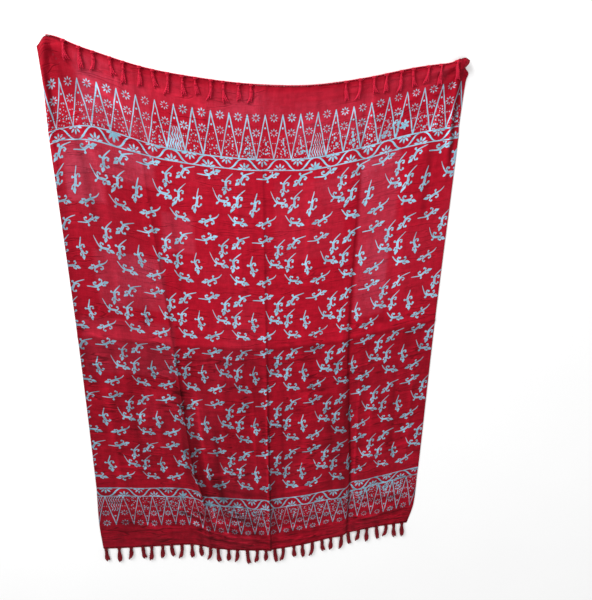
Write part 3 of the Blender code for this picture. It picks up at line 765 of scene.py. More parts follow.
def join(tree, value, socket):
    if isinstance(value, Formula):
        tree.links.new(value.socket, socket)
    else:
        socket.default_value = value


def math_node(tree, operation, *values, clamp=False):
    node = tree.nodes.new("ShaderNodeMath")
    node.operation = operation
    node.use_clamp = clamp
    for value, socket in zip(values, node.inputs):
        join(tree, value, socket)
    return Formula(tree, node.outputs["Value"])


class Formula:
    def __init__(self, tree, socket):
        self.tree, self.socket = tree, socket

    def math(self, operation, *others):
        return math_node(self.tree, operation, self, *others)

    def __add__(self, other):
        return self.math("ADD", other)

    __radd__ = __add__

    def __sub__(self, other):
        return self.math("SUBTRACT", other)

    def __rsub__(self, other):
        return math_node(self.tree, "SUBTRACT", other, self)

    def __mul__(self, other):
        return self.math("MULTIPLY", other)

    __rmul__ = __mul__

    def __truediv__(self, other):
        return self.math("DIVIDE", other)

    def __abs__(self):
        return self.math("ABSOLUTE")

    def at_least(self, other):
        return self.math("MAXIMUM", other)

    def at_most(self, other):
        return self.math("MINIMUM", other)

    def wrapped(self, half):
        """Repeats the value between minus half and half."""
        return self.math("WRAP", half, -half)

    def between(self, low, high):
        """0 at low and 1 at high, smoothly."""
        node = self.tree.nodes.new("ShaderNodeMapRange")
        node.interpolation_type = "SMOOTHSTEP"
        for name, value in (("Value", self), ("From Min", low), ("From Max", high)):
            join(self.tree, value, node.inputs[name])
        return Formula(self.tree, node.outputs["Result"])


def length_of(x, y):
    return (x * x + y * y).math("SQRT")


words = [name for name in dir(Formula) if "__" not in name]
print("a formula knows", len(words), "words of its own")

# %% Node groups with named sockets


def new_group(name, inputs, outputs):
    tree = bpy.data.node_groups.new(name, "ShaderNodeTree")
    for socket, value in inputs.items():
        kind = "NodeSocketVector" if value is None else "NodeSocketFloat"
        made = tree.interface.new_socket(name=socket, in_out="INPUT", socket_type=kind)
        if value is not None:
            made.default_value = value
    for socket in outputs:
        tree.interface.new_socket(name=socket, in_out="OUTPUT", socket_type="NodeSocketFloat")
    entry, leave = tree.nodes.new("NodeGroupInput"), tree.nodes.new("NodeGroupOutput")
    return tree, {socket: Formula(tree, entry.outputs[socket]) for socket in inputs}, leave


def use_group(tree, group, inputs):
    node = tree.nodes.new("ShaderNodeGroup")
    node.node_tree = group
    for name, value in inputs.items():
        join(tree, value, node.inputs[name])
    return {output.name: Formula(tree, output) for output in node.outputs}


print("groups have named sockets")

# %% Vectors in a node tree


def vector_math(tree, operation, *values, output="Vector"):
    node = tree.nodes.new("ShaderNodeVectorMath")
    node.operation = operation
    for value, socket in zip(values, node.inputs):
        join(tree, value, socket)
    return Formula(tree, node.outputs[output])


def vector_of(tree, x, y, z=0.0):
    node = tree.nodes.new("ShaderNodeCombineXYZ")
    for value, socket in zip((x, y, z), node.inputs):
        join(tree, value, socket)
    return Formula(tree, node.outputs["Vector"])


def parts_of(vector):
    node = vector.tree.nodes.new("ShaderNodeSeparateXYZ")
    join(vector.tree, vector, node.inputs[0])
    return [Formula(vector.tree, output) for output in node.outputs[:2]]


print("a place is a vector, and x and y are its parts")

# %% Soft noise, and the distance to a stroke


def noise(tree, place, scale, detail=1.0, stretch=None):
    """Soft noise from 0 to 1, with about scale bumps to a metre of cloth."""
    if stretch:
        place = vector_math(tree, "MULTIPLY", place, (*stretch, 1.0))
    node = tree.nodes.new("ShaderNodeTexNoise")
    node.noise_dimensions = "2D"
    join(tree, place, node.inputs["Vector"])
    node.inputs["Scale"].default_value = scale
    node.inputs["Detail"].default_value = detail
    return Formula(tree, node.outputs["Fac"])


def stroke(tree, point, start, end, radius):
    """Distance from the rim of a round-ended stroke, below 0 inside it."""
    run = Vector((end[0] - start[0], end[1] - start[1], 0.0))
    reach = vector_math(tree, "SUBTRACT", point, (*start, 0.0))
    share = vector_math(tree, "DOT_PRODUCT", reach, tuple(run / run.length_squared), output="Value")
    share = math_node(tree, "ADD", share, 0.0, clamp=True)
    nearest = tree.nodes.new("ShaderNodeVectorMath")
    nearest.operation = "SCALE"
    nearest.inputs[0].default_value = tuple(run)
    join(tree, share, nearest.inputs["Scale"])
    away = vector_math(tree, "SUBTRACT", reach, Formula(tree, nearest.outputs[0]))
    return vector_math(tree, "LENGTH", away, output="Value") - radius


print("the shader arithmetic is ready")

# %% [markdown]
# ## The gecko
# The field is covered with small geckos, an old favourite of island prints. One gecko is drawn
# here, in millimetres, looking along its own x axis. A curve gives its half width from the tip of
# the tail to the nose, and round-ended strokes make the four bent legs. The tail swings to one side
# by an amount that differs from gecko to gecko.

# %% The gecko's half width at places along it, and its legs: start, end and radius
GECKO_OUTLINE = {
    -36.0: -1.0, -34.0: 0.5, -27.0: 1.0, -19.0: 1.2, -13.0: 1.7, -8.0: 2.5, -2.0: 2.5, 4.0: 2.9,
    9.0: 2.6, 13.5: 1.2, 17.0: 2.9, 20.0: 4.0, 23.5: 2.7, 27.0: 0.9, 29.5: -1.0,
}
GECKO_LEGS = (
    ((9.0, 1.5), (13.0, 8.6), 1.0),
    ((13.0, 8.6), (9.6, 12.8), 0.9),
    ((9.0, 12.4), (7.6, 11.6), 1.9),
    ((-7.0, 1.5), (-14.0, 6.6), 1.1),
    ((-14.0, 6.6), (-12.6, 12.4), 1.0),
    ((-12.6, 12.4), (-8.2, 13.2), 0.9),
    ((-7.6, 12.4), (-7.0, 11.2), 1.9),
    ((6.0, -1.5), (9.4, -7.4), 1.0),
    ((9.4, -7.4), (13.4, -7.8), 0.9),
    ((14.4, -7.4), (14.8, -6.4), 2.0),
    ((-8.0, -1.5), (-9.4, -8.0), 1.1),
    ((-9.6, -8.6), (-10.8, -9.2), 2.1),
)
print("the gecko has", len(GECKO_LEGS), "strokes for its legs")

# %% One gecko as a distance
TAIL_START, TAIL_REACH = -6.0, 28.0
BODY_WAVE, WAVE_RATE = 1.4, 0.16
WIDEST, OUTLINE_SHIFT = 5.0, 1.0
EYE_ALONG, EYE_ASIDE, EYE_RADIUS = 20.5, 1.9, 0.75
SPINE_MIDDLE, SPINE_REACH, SPINE_HALF = 3.0, 11.0, 0.5
DASH_SPACING, DASH_HALF = 1.6, 1.0
MARK_SOFTNESS = 0.4
gecko, given, leave = new_group("Gecko", {"Place": None, "Tail Swing": 0.0}, ["Distance", "Marks"])
x, y = parts_of(given["Place"])
behind = ((TAIL_START - x) / TAIL_REACH).at_least(0.0)
y = y - given["Tail Swing"] * behind * behind - (x * WAVE_RATE).math("SINE") * BODY_WAVE
outline = gecko.nodes.new("ShaderNodeFloatCurve")
low, high, full = min(GECKO_OUTLINE), max(GECKO_OUTLINE), WIDEST + OUTLINE_SHIFT
curve = outline.mapping.curves[0]
while len(curve.points) < len(GECKO_OUTLINE):
    curve.points.new(0.5, 0.5)
for point, (where, half) in zip(curve.points, sorted(GECKO_OUTLINE.items())):
    point.location = ((where - low) / (high - low), (half + OUTLINE_SHIFT) / full)
outline.mapping.update()
join(gecko, (x - low) / (high - low), outline.inputs["Value"])
body = abs(y) - (Formula(gecko, outline.outputs[0]) * full - OUTLINE_SHIFT)
limb = vector_of(gecko, x, y)
for start, end, radius in GECKO_LEGS:
    body = body.at_most(stroke(gecko, limb, start, end, radius))
eye = length_of(x - EYE_ALONG, abs(y) - EYE_ASIDE) - EYE_RADIUS
spine = (abs(y) - SPINE_HALF).at_least(abs(x - SPINE_MIDDLE) - SPINE_REACH)
spine = spine.at_least(abs(x.wrapped(DASH_SPACING)) - DASH_HALF)
join(gecko, body, leave.inputs["Distance"])
marks = 1.0 - eye.at_most(spine).between(-MARK_SOFTNESS, MARK_SOFTNESS)
join(gecko, marks, leave.inputs["Marks"])
print("the gecko is", round(high - low), "mm long")

# %% Eight geckos to a block: centre right and down in millimetres, heading in degrees, tail swing
BLOCK = (158.8, 180.0)
FIRST_GECKO = (-142.5, 241.0)
GECKO_MIDDLE = 4.5
GECKO_REACH = (33.0, 15.0)
GECKOS = {
    "upper left": (0.0, 0.0, 24.0, 8.0),
    "upper right": (44.0, 22.0, -98.0, 12.0),
    "upper slant": (91.0, 1.0, -130.0, 11.0),
    "climbing down": (-34.0, 76.0, -78.0, 8.0),
    "turning": (29.0, 70.0, -18.0, 21.0),
    "hanging": (74.0, 65.0, -96.0, 15.0),
    "looking back": (11.0, 123.0, -162.0, -10.0),
    "running": (85.0, 123.0, -15.0, 16.0),
}
print(len(GECKOS), "geckos to a block of", BLOCK, "mm")

# %% The field: every place finds its nearest gecko, and only that one is drawn
field, given, leave = new_group("Gecko field", {"Place": None}, ["Distance", "Marks"])
half = (BLOCK[0] / 2, BLOCK[1] / 2, 1.0)
shrink = (1 / GECKO_REACH[0], 1 / GECKO_REACH[1], 0.0)
kept = swing = nearest = None
for right, down, heading, tail in GECKOS.values():
    centre = (FIRST_GECKO[0] + right, FIRST_GECKO[1] + down)
    away = vector_math(field, "SUBTRACT", given["Place"], (centre[0], -centre[1], 0.0))
    away = vector_math(field, "WRAP", away, half, tuple(-side for side in half))
    turn = field.nodes.new("ShaderNodeVectorRotate")
    turn.rotation_type = "Z_AXIS"
    join(field, away, turn.inputs["Vector"])
    turn.inputs["Angle"].default_value = -math.radians(heading)
    turned = Formula(field, turn.outputs["Vector"])
    size = vector_math(field, "MULTIPLY", turned, shrink)
    size = vector_math(field, "LENGTH", size, output="Value")
    if kept is None:
        kept, swing, nearest = turned, tail, size
        continue
    closer = math_node(field, "LESS_THAN", size, nearest)
    mix = field.nodes.new("ShaderNodeMix")
    mix.data_type = "VECTOR"
    for value, number in ((closer, 0), (kept, 4), (turned, 5)):
        join(field, value, mix.inputs[number])
    kept = Formula(field, mix.outputs[1])
    swing = closer * (tail - swing) + swing
    nearest = nearest.at_most(size)
kept = vector_math(field, "SUBTRACT", kept, (GECKO_MIDDLE, 0.0, 0.0))
drawn = use_group(field, gecko, {"Place": kept, "Tail Swing": swing})
for name, value in drawn.items():
    join(field, value, leave.inputs[name])
print("the field is a group of", len(field.nodes), "nodes")

# %% [markdown]
# ## The borders
# Both ends carry the same border, one the mirror of the other: small flowers in rows, a line of
# tall triangles with a motif in each, and a narrow band of fans and leaves between two lines. A
# ring of petals is one group, used for the flowers, the fans and the larger blossoms.

# %% A ring of petals
# Sizes of a ring: number of petals, inner and outer radius, a petal's half width, and the radius
# of the eye.
FLOWER = (8.0, 5.4, 9.8, 0.95, -3.0)
BLOSSOM = (6.0, 3.6, 11.5, 2.4, 2.2)
FAN = (9.0, 6.8, 17.0, 2.0, 3.8)
RING_SIZES = ("Count", "Inner", "Outer", "Half Width", "Eye")
ring_inputs = {"X": 0.0, "Y": 0.0} | dict(zip(RING_SIZES, FLOWER))
petals, given, leave = new_group("Petal ring", ring_inputs, ["Distance"])
x, y = given["X"], given["Y"]
radius = length_of(x, y)
sector = math_node(petals, "DIVIDE", math.pi, given["Count"])
angle = math_node(petals, "ARCTAN2", x, y)
angle = math_node(petals, "WRAP", angle, sector, sector * -1.0)
middle = (given["Inner"] + given["Outer"]) * 0.5
reach = (radius - middle) / ((given["Outer"] - given["Inner"]) * 0.5)
petal = (length_of(reach, radius * angle / given["Half Width"]) - 1.0) * given["Half Width"]
join(petals, petal.at_most(radius - given["Eye"]), leave.inputs["Distance"])


def petal_ring(tree, x, y, sizes):
    return use_group(tree, petals, {"X": x, "Y": y} | dict(zip(RING_SIZES, sizes)))["Distance"]


print("a ring of petals is one group of", len(petals.nodes), "nodes")

# %% The border, in millimetres across and from the cut edge
MILLIMETRES = 1000.0
PITCH_MM = MILLIMETRES * PITCH
TIP_LINE, BASE_LINE, FIELD_LINE = 72.0, 184.0, 215.0
RULE_HALF = 1.0
SLANT = 0.978
ZIGZAG_HALF, THINNER_BELOW, TIP_ROOM = 1.0, 0.25, 2.0
FIRST_FLOWERS, FLOWER_SPACING = 78.0, 19.0
FLOWERS_MIDDLE, FLOWERS_REACH = 97.0, 37.0
DOTS_AT, DOT_SPACING, DOT_RADIUS = 143.0, 3.2, 1.1
DOTS_NARROWER, DOTS_REACH = 0.7, 5.0
TIP_DOT_AT, TIP_DOT_RADIUS = 104.0, 2.0
border_inputs = {"X": 0.0, "From End": 0.0, "Lower End": 0.0}
border, given, leave = new_group("Border", border_inputs, ["Distance"])
x, v = given["X"], given["From End"]
at_base = x.wrapped(PITCH_MM / 2)
at_tip = (x - PITCH_MM / 2).wrapped(PITCH_MM / 2)
down = (v - TIP_LINE) / (BASE_LINE - TIP_LINE)
from_middle = abs(v - (BASE_LINE + FIELD_LINE) / 2)
ruled = abs(from_middle - (FIELD_LINE - BASE_LINE) / 2) - RULE_HALF
side = (abs(at_tip) - down * (PITCH_MM / 2)) * SLANT
zigzag = abs(side) - ZIGZAG_HALF + given["Lower End"] * THINNER_BELOW
zigzag = zigzag.at_least(TIP_LINE - TIP_ROOM - v).at_least(v - BASE_LINE)
flowers = petal_ring(border, at_base, (v - FIRST_FLOWERS).wrapped(FLOWER_SPACING), FLOWER)
flowers = flowers.at_least(abs(v - FLOWERS_MIDDLE) - FLOWERS_REACH)
dots = length_of((at_base + DOT_SPACING).wrapped(DOT_SPACING), (v - DOTS_AT).wrapped(DOT_SPACING))
dots = (dots - DOT_RADIUS).at_least(length_of(at_base * DOTS_NARROWER, v - DOTS_AT) - DOTS_REACH)
tip_dot = length_of(at_tip, v - TIP_DOT_AT) - TIP_DOT_RADIUS
tall, wide = round(BASE_LINE - TIP_LINE), round(PITCH_MM)
print("a border triangle is", tall, "mm tall and", wide, "mm wide")

# %% A motif in each triangle: wavy lines, a blossom, or sprinkled dabs with a dotted curl
LOWER_SHIFT = 31.0
FLAME_RATE, FLAME_WAVE, FLAME_SPACING, FLAME_HALF = 0.27, 1.9, 3.1, 0.8
FLAME_SLANT, FLAME_BREAK, FLAME_PIECE = 1.7, 6.0, 4.9
BLOSSOM_AT, CURL_AT, CURL_RADIUS, CURL_HALF = 154.0, 164.0, 7.0, 1.6
CURL_STEM = ((5.0, 158.0), (-1.0, 130.0), 1.8)
GRAIN_SCALE, GRAIN_SQUASH, GRAIN_SHARPNESS = 0.19, 0.8, 6.0
GRAIN_SIZE, GRAIN_SIZE_SWING, CURL_GRAIN = 0.30, 0.45, 0.42
CURL_ROOM, CURL_CHANCE = 16.0, 20.0
FLAME_CHANCE, BLOSSOM_CHANCE = 0.15, 0.17
MOTIF_INSET, MOTIF_TOP, MOTIF_FOOT = 4.0, 124.0, 3.0
number = (x / PITCH_MM).math("FLOOR") + given["Lower End"] * LOWER_SHIFT
chance = border.nodes.new("ShaderNodeTexWhiteNoise")
chance.noise_dimensions = "1D"
join(border, number + 0.5, chance.inputs["W"])
chance = Formula(border, chance.outputs["Value"])
flame = at_tip + (v * FLAME_RATE).math("SINE") * FLAME_WAVE
flame = abs(flame.wrapped(FLAME_SPACING)) - FLAME_HALF
flame = flame.at_least(abs((v + at_tip * FLAME_SLANT).wrapped(FLAME_BREAK)) - FLAME_PIECE)
blossom = petal_ring(border, at_tip, v - BLOSSOM_AT, BLOSSOM)
curl = abs(length_of(at_tip, v - CURL_AT) - CURL_RADIUS) - CURL_HALF
curl = curl.at_most(stroke(border, vector_of(border, at_tip, v), *CURL_STEM))
grains = border.nodes.new("ShaderNodeTexVoronoi")
grains.voronoi_dimensions = "2D"
grains.inputs["Scale"].default_value = GRAIN_SCALE
join(border, vector_of(border, x, v * GRAIN_SQUASH), grains.inputs["Vector"])
shed = parts_of(Formula(border, grains.outputs["Color"]))[0]
grain = Formula(border, grains.outputs["Distance"])
sprinkled = (grain - (shed - GRAIN_SIZE) * GRAIN_SIZE_SWING) * GRAIN_SHARPNESS
curl = curl.at_least((grain - CURL_GRAIN) * GRAIN_SHARPNESS)
sprinkled = sprinkled.at_most(curl.at_least(CURL_ROOM - chance * CURL_CHANCE))


def choose(tree, below, level, first, second):
    """First where the chance is below the level, and second elsewhere."""
    pick = math_node(tree, "LESS_THAN", below, level)
    return pick * (first - second) + second


motif = choose(border, chance, BLOSSOM_CHANCE, blossom, sprinkled)
motif = choose(border, chance, FLAME_CHANCE, flame, motif)
motif = motif.at_least(side + MOTIF_INSET)
motif = motif.at_least(MOTIF_TOP - v).at_least(v - (BASE_LINE - MOTIF_FOOT))
print("wavy lines in", FLAME_CHANCE, "of the triangles")

# %% Fans and leaves in the band
FAN_SPACING, FIRST_FAN, FAN_FOOT = 48.1, -128.8, 14.5
LEAF_RATE, LEAF_SWING, LEAF_HALF, LEAF_TAPER, LEAF_REACH = 0.098, 13.5, 3.6, 0.20, 17.0
BAND_HALF = 14.0
turn = ((x - FIRST_FAN) / FAN_SPACING + 0.5).math("FLOOR")
flip = 1.0 - abs(turn.wrapped(1.0)) * 2.0
across = (x - FIRST_FAN).wrapped(FAN_SPACING / 2)
up = flip * (v - (BASE_LINE + FIELD_LINE) / 2)
fan = petal_ring(border, across, FAN_FOOT - up, FAN)
beside = FAN_SPACING / 2 - abs(across)
ribbon = abs(up + (beside * LEAF_RATE).math("SINE") * LEAF_SWING) - LEAF_HALF + beside * LEAF_TAPER
band = fan.at_most(ribbon.at_least(beside - LEAF_REACH)).at_least(from_middle - BAND_HALF)
shapes = ruled
for other in (zigzag, flowers, dots, tip_dot, motif, band):
    shapes = shapes.at_most(other)
join(border, shapes, leave.inputs["Distance"])
print("the border is a group of", len(border.nodes), "nodes")

# %% [markdown]
# ## Weave and wrinkles
# Rayon is woven from slightly uneven yarn. Its thick places, called slubs, run a few centimetres
# along both threads and catch the light as short faint lines. Many soft, shallow wrinkles lie
# between the larger creases. One group makes them all as a height in millimetres, and puts out
# masks beside it: the thin places of the dye, where the pale floor shines through, the sharp
# valleys, which get painted shade, and painted light and shade that is lighter on the swells and
# darker in the hollows.

# %% The woven surface: noise at several sizes, in bumps to a metre across and down
SLUBS = ((900.0, 60.0), (50.0, 900.0))
WRINKLES = ((34.0, 8.0), (10.0, 42.0))
CRINKLES = (30.0, 125.0)
THREADS = (9000.0, 9000.0, 0.0)
LONG_CREASES, CREASED_PLACES = (6.0, 40.0), (9.0, 14.0)
CREASE_HALF, RAISED_ASIDE, RAISED_HALF = 0.035, 0.05, 0.04
CREASE_DEPTH, RAISED_HEIGHT = 0.8, 0.5
PATCH_SIZE, SLUB_PATCHES = 3.4, 0.3
CRINKLED_SHARE, CREASED_SHARE, THIN_SHARE = (0.3, 0.7), (0.44, 0.58), (0.44, 0.74)
WRINKLE_TONE, CRINKLE_TONE, RAISED_TONE = 0.6, 0.45, 0.26
woven, given, leave = new_group(
    "Woven cloth",
    {"Place": None, "Slub": 0.06, "Wrinkle": 3.4, "Crinkle": 0.0, "Thread": 0.03},
    ["Height", "Thin", "Valley", "Swell"],
)
place = given["Place"]
slub = noise(woven, place, 1.0, 1.0, SLUBS[0]) + noise(woven, place, 1.0, 1.0, SLUBS[1]) - 1.0
wrinkle = noise(woven, place, 1.0, 3.0, WRINKLES[0]) + noise(woven, place, 1.0, 3.0, WRINKLES[1])
crinkle = noise(woven, place, 1.0, 3.0, CRINKLES).between(*CRINKLED_SHARE) * given["Crinkle"]
x, y = parts_of(vector_math(woven, "MULTIPLY", place, THREADS))
thread = x.math("SINE") * y.math("SINE")
creases = noise(woven, place, 1.0, 2.0, LONG_CREASES) - 0.5
marked = noise(woven, place, 1.0, 1.0, CREASED_PLACES).between(*CREASED_SHARE)
sharp = (1.0 - abs(creases).between(0.0, CREASE_HALF)) * marked
raised = (1.0 - abs(creases - RAISED_ASIDE).between(0.0, RAISED_HALF)) * marked
height = slub * given["Slub"] + wrinkle * given["Wrinkle"] + crinkle + thread * given["Thread"]
join(woven, height - sharp * CREASE_DEPTH + raised * RAISED_HEIGHT, leave.inputs["Height"])
patches = noise(woven, place, PATCH_SIZE, 3.0) + slub * SLUB_PATCHES
join(woven, patches.between(*THIN_SHARE), leave.inputs["Thin"])
# The sharp valleys, where the material paints shade.
join(woven, sharp, leave.inputs["Valley"])
# Painted light and shade: lighter on the swells of the wrinkles and beside the creases, darker in
# their hollows.
tone = (wrinkle - 1.0) * WRINKLE_TONE + (crinkle - given["Crinkle"] * 0.5) * CRINKLE_TONE
join(woven, tone + raised * RAISED_TONE, leave.inputs["Swell"])
print("the weave is a group of", len(woven.nodes), "nodes")

# %% Colours, and values kept with the cloth's points


def linear(red, green, blue):
    """A colour picked on screen, from 0 to 255, as the light it stands for."""

    def light(value):
        return value / 255 / 12.92 if value < 11 else ((value / 255 + 0.055) / 1.055) ** 2.4

    return (light(red), light(green), light(blue), 1.0)


def darker(colour, share):
    return tuple(share * value for value in colour[:3]) + (1.0,)


def mix_colour(tree, share, first, second):
    node = tree.nodes.new("ShaderNodeMix")
    node.data_type = "RGBA"
    for value, number in ((share, 0), (first, 6), (second, 7)):
        join(tree, value, node.inputs[number])
    return Formula(tree, node.outputs[2])


def cloth_value(tree, name):
    node = tree.nodes.new("ShaderNodeAttribute")
    node.attribute_name = name
    return Formula(tree, node.outputs["Fac"])


print("a middle grey on screen is a light of", round(linear(128, 128, 128)[0], 3))

# %% A new material, and relief for it


def new_material(name, uv_name):
    """Returns the material, its tree, its shader, and the place on the flat cloth or yarn."""
    material = bpy.data.materials.new(name)
    material.use_nodes = True
    tree = material.node_tree
    uv = tree.nodes.new("ShaderNodeUVMap")
    uv.uv_map = uv_name
    return material, tree, tree.nodes["Principled BSDF"], Formula(tree, uv.outputs["UV"])


def finish(shader, values):
    """Sets what is the same all over the surface."""
    for name, value in values.items():
        shader.inputs[name].default_value = value


def emboss(tree, shader, height, metres):
    bump = tree.nodes.new("ShaderNodeBump")
    bump.inputs["Distance"].default_value = metres
    join(tree, height, bump.inputs["Height"])
    tree.links.new(bump.outputs["Normal"], shader.inputs["Normal"])


print("materials start from a UV map")

# %% [markdown]
# ## Printed by hand
# A printer stamps or draws on cloth that gives a little, so the lines waver. The dye also spreads:
# strokes are thicker where the cloth was wet, and in a few places the print has run together. Both
# are changes of the distance to the motifs, before it is turned into ink or no ink.

# %% How much print covers a place
FIRST_ROW_END, FIRST_ROW_BLEND, FIRST_ROW_MOVE = 0.325, 0.02, (15.0, 6.0)
WAVER_MOVE, SWELL_MOVE = 3.0, 4.0
PRINT_END, HALF_LENGTH = 1530.0, MILLIMETRES * CLOTH_LENGTH / 2
FIELD_ROOM, LOWER_FIELD_ROOM = 3.0, 12.0
PRINT_SOFTNESS, SPREAD_OF_DYE = 0.9, 1.3
GECKO_THICKER, ALL_THICKER = 0.2, 0.25
BLOT_BAND, BLOT_NEAR, BLOT_FAR = 199.0, 20.0, 60.0
BLOT_WAVER, BLOT_THICKER = (0.62, 0.70), 1.2
BLED_GRAIN, BLED_SHARE, BLED_THICKER = 120.0, (0.36, 0.62), 3.2
MARK_STRENGTH = 0.8


def print_cover(tree, place, waver, swell):
    down_cloth = parts_of(place)[1]
    shifted = vector_math(tree, "MULTIPLY", place, (MILLIMETRES, -MILLIMETRES, 0.0))
    nudge = vector_of(tree, waver * WAVER_MOVE, swell * SWELL_MOVE)
    shifted = vector_math(tree, "ADD", shifted, nudge)
    first_row = down_cloth.between(FIRST_ROW_END + FIRST_ROW_BLEND, FIRST_ROW_END - FIRST_ROW_BLEND)
    moved = vector_of(tree, first_row * -FIRST_ROW_MOVE[0], first_row * -FIRST_ROW_MOVE[1])
    u, v = parts_of(shifted)
    from_end = (v * -1.0).at_most(PRINT_END + v)
    lower = math_node(tree, "LESS_THAN", v, -HALF_LENGTH)
    ends = use_group(tree, border, {"X": u, "From End": from_end, "Lower End": lower})["Distance"]
    geckos = use_group(tree, field, {"Place": vector_math(tree, "ADD", shifted, moved)})
    field_start = lower * LOWER_FIELD_ROOM + FIELD_LINE + FIELD_ROOM
    in_field = math_node(tree, "GREATER_THAN", from_end, field_start)
    distance = in_field * (geckos["Distance"] - GECKO_THICKER - ends) + ends
    near_band = 1.0 - abs(from_end - BLOT_BAND).between(BLOT_NEAR, BLOT_FAR)
    blot = waver.between(*BLOT_WAVER) * near_band * BLOT_THICKER
    grainy = noise(tree, place, BLED_GRAIN, 2.0).between(*BLED_SHARE)
    thicker = blot.at_least(cloth_value(tree, "stain") * grainy * BLED_THICKER)
    distance = distance - (swell - 0.5) * SPREAD_OF_DYE - ALL_THICKER - thicker
    cover = 1.0 - distance.between(-PRINT_SOFTNESS, PRINT_SOFTNESS)
    return cover * (1.0 - geckos["Marks"] * in_field * MARK_STRENGTH)


print("the print is soft over", 2 * PRINT_SOFTNESS, "mm")

# %% Painted shade and light: where the cloth is dark, and how its tone changes down and across it
CREASED_FROM, CREASED_ABOVE, CREASED_BELOW = (0.45, 0.85), 0.25, 0.75
PAINTED_SHADE_DARKNESS, VALLEY_DARKNESS, DARKEST = 0.55, 0.5, 0.85
TONE_AT_TOP, TONE_SWING = 1.24, 0.9
UPPER_FADE, UPPER_FALL = (0.25, 0.70), 0.06
LOWER_FADE, LOWER_FALL = (0.755, 0.795), 0.40
RIGHT_FADE, RIGHT_LIGHTER = (-0.03, 0.06), 0.12
HEM_FADE, HEM_FALL = (1.30, 1.50), 0.12
MOTTLE_COARSE, MOTTLE_FINE, MOTTLE_LOW, MOTTLE_SWING = 62.0, 190.0, 0.91, 0.18
MOTTLED_SHARE, FINE_PART = (0.34, 0.66), 0.3


def shade_and_tone(tree, place, surface):
    across_cloth, down_cloth = parts_of(place)
    creased = down_cloth.between(*CREASED_FROM) * CREASED_BELOW + CREASED_ABOVE
    # Painted shade: the stored shade, and more in the sharp crease valleys, most in the lower part.
    shade = cloth_value(tree, "painted_shade") * PAINTED_SHADE_DARKNESS
    shade = (shade + surface["Valley"] * creased * VALLEY_DARKNESS).at_most(DARKEST)
    # Painted shade and light in the tone: it falls down the cloth as the light falls off, less so
    # right of the middle in the lower part, and is lighter on the swells.
    lower_fall = LOWER_FALL - across_cloth.between(*RIGHT_FADE) * RIGHT_LIGHTER
    tone = TONE_AT_TOP - down_cloth.between(*UPPER_FADE) * UPPER_FALL
    tone = tone - down_cloth.between(*LOWER_FADE) * lower_fall
    tone = tone - down_cloth.between(*HEM_FADE) * HEM_FALL + surface["Swell"] * creased * TONE_SWING
    coarse = noise(tree, place, MOTTLE_COARSE, 3.0).between(*MOTTLED_SHARE)
    mottled = coarse * (1.0 - FINE_PART) + noise(tree, place, MOTTLE_FINE, 2.0) * FINE_PART
    # Crease tops painted lighter and troughs painted darker, in step with their height.
    tone = tone * (1.0 + cloth_value(tree, "painted_crease_light"))
    return shade, tone * (MOTTLE_LOW + mottled * MOTTLE_SWING)


print("the hem is", round(LOWER_FALL + UPPER_FALL + HEM_FALL, 2), "darker in tone than the top")

# %% The printed rayon, one material for each face
WAVER_SIZE, SWELL_SIZE = 28.0, 9.0
CRINKLE_ALL, CRINKLE_LOWER, LOWER_START = 0.1, 0.1, (0.76, 0.85)
HEM_START, HEM_RIGHT, HEM_LEFT, HEM_TURN = (1.38, 1.47), 0.8, 0.2, (-0.32, -0.14)
SHEER_PLAIN, SHEER_THIN, THIN_EVERYWHERE = 0.55, 0.8, 0.12
# SHADE_COLOUR sets how dark the dye is under the painted shade.
FADED_INK, FADED_WAVER, SHADE_COLOUR = 0.72, (0.35, 0.75), 0.12
ROUGHNESS, ROUGHNESS_SWING = 0.66, 0.2
RELIEF = 0.001
CLOTH_FINISH = {"Sheen Weight": 0.01, "Sheen Roughness": 0.45, "Specular IOR Level": 0.05}


def printed_rayon(name, dye, thin_dye, print_colour, strength):
    material, tree, shader, place = new_material(name, "cloth_metres")
    across_cloth, down_cloth = parts_of(place)
    hem = across_cloth.between(*HEM_TURN) * (HEM_RIGHT - HEM_LEFT) + HEM_LEFT
    crinkled = CRINKLE_ALL + down_cloth.between(*LOWER_START) * CRINKLE_LOWER
    crinkled = crinkled + down_cloth.between(*HEM_START) * hem
    surface = use_group(tree, woven, {"Place": place, "Crinkle": crinkled})
    waver, swell = noise(tree, place, WAVER_SIZE, 2.0), noise(tree, place, SWELL_SIZE, 1.0)
    inked = print_cover(tree, place, waver, swell) * strength
    pale = cloth_value(tree, "sheer") * (SHEER_PLAIN + SHEER_THIN * surface["Thin"])
    pale = (pale + surface["Thin"] * THIN_EVERYWHERE).at_most(1.0)
    ground = mix_colour(tree, pale, dye, thin_dye)
    faded = waver.between(*FADED_WAVER)
    ink = mix_colour(tree, faded, print_colour, darker(print_colour, FADED_INK))
    shade, tone = shade_and_tone(tree, place, surface)
    coloured = mix_colour(tree, inked, ground, ink)
    # Painted shade darkens the colour, and the tone then scales it with painted light and shade.
    coloured = mix_colour(tree, shade, coloured, darker(dye, SHADE_COLOUR))
    scaled = tree.nodes.new("ShaderNodeVectorMath")
    scaled.operation = "SCALE"
    join(tree, coloured, scaled.inputs[0])
    join(tree, tone, scaled.inputs["Scale"])
    tree.links.new(scaled.outputs["Vector"], shader.inputs["Base Color"])
    emboss(tree, shader, surface["Height"], RELIEF)
    join(tree, ROUGHNESS + waver * ROUGHNESS_SWING, shader.inputs["Roughness"])
    finish(shader, CLOTH_FINISH)
    return material


FACES = {
    "printed rayon": ((150, 12, 32), (164, 54, 74), (134, 190, 212), 0.97),
    "printed rayon underside": ((146, 30, 46), (168, 74, 88), (136, 128, 142), 0.6),
}
for name, (dye, thin_dye, print_colour, strength) in FACES.items():
    colours = [linear(*colour) for colour in (dye, thin_dye, print_colour)]
    cloth_mesh.materials.append(printed_rayon(name, *colours, strength))
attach(cloth, "root")
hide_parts("cloth_panel")
print("the cloth has its print")

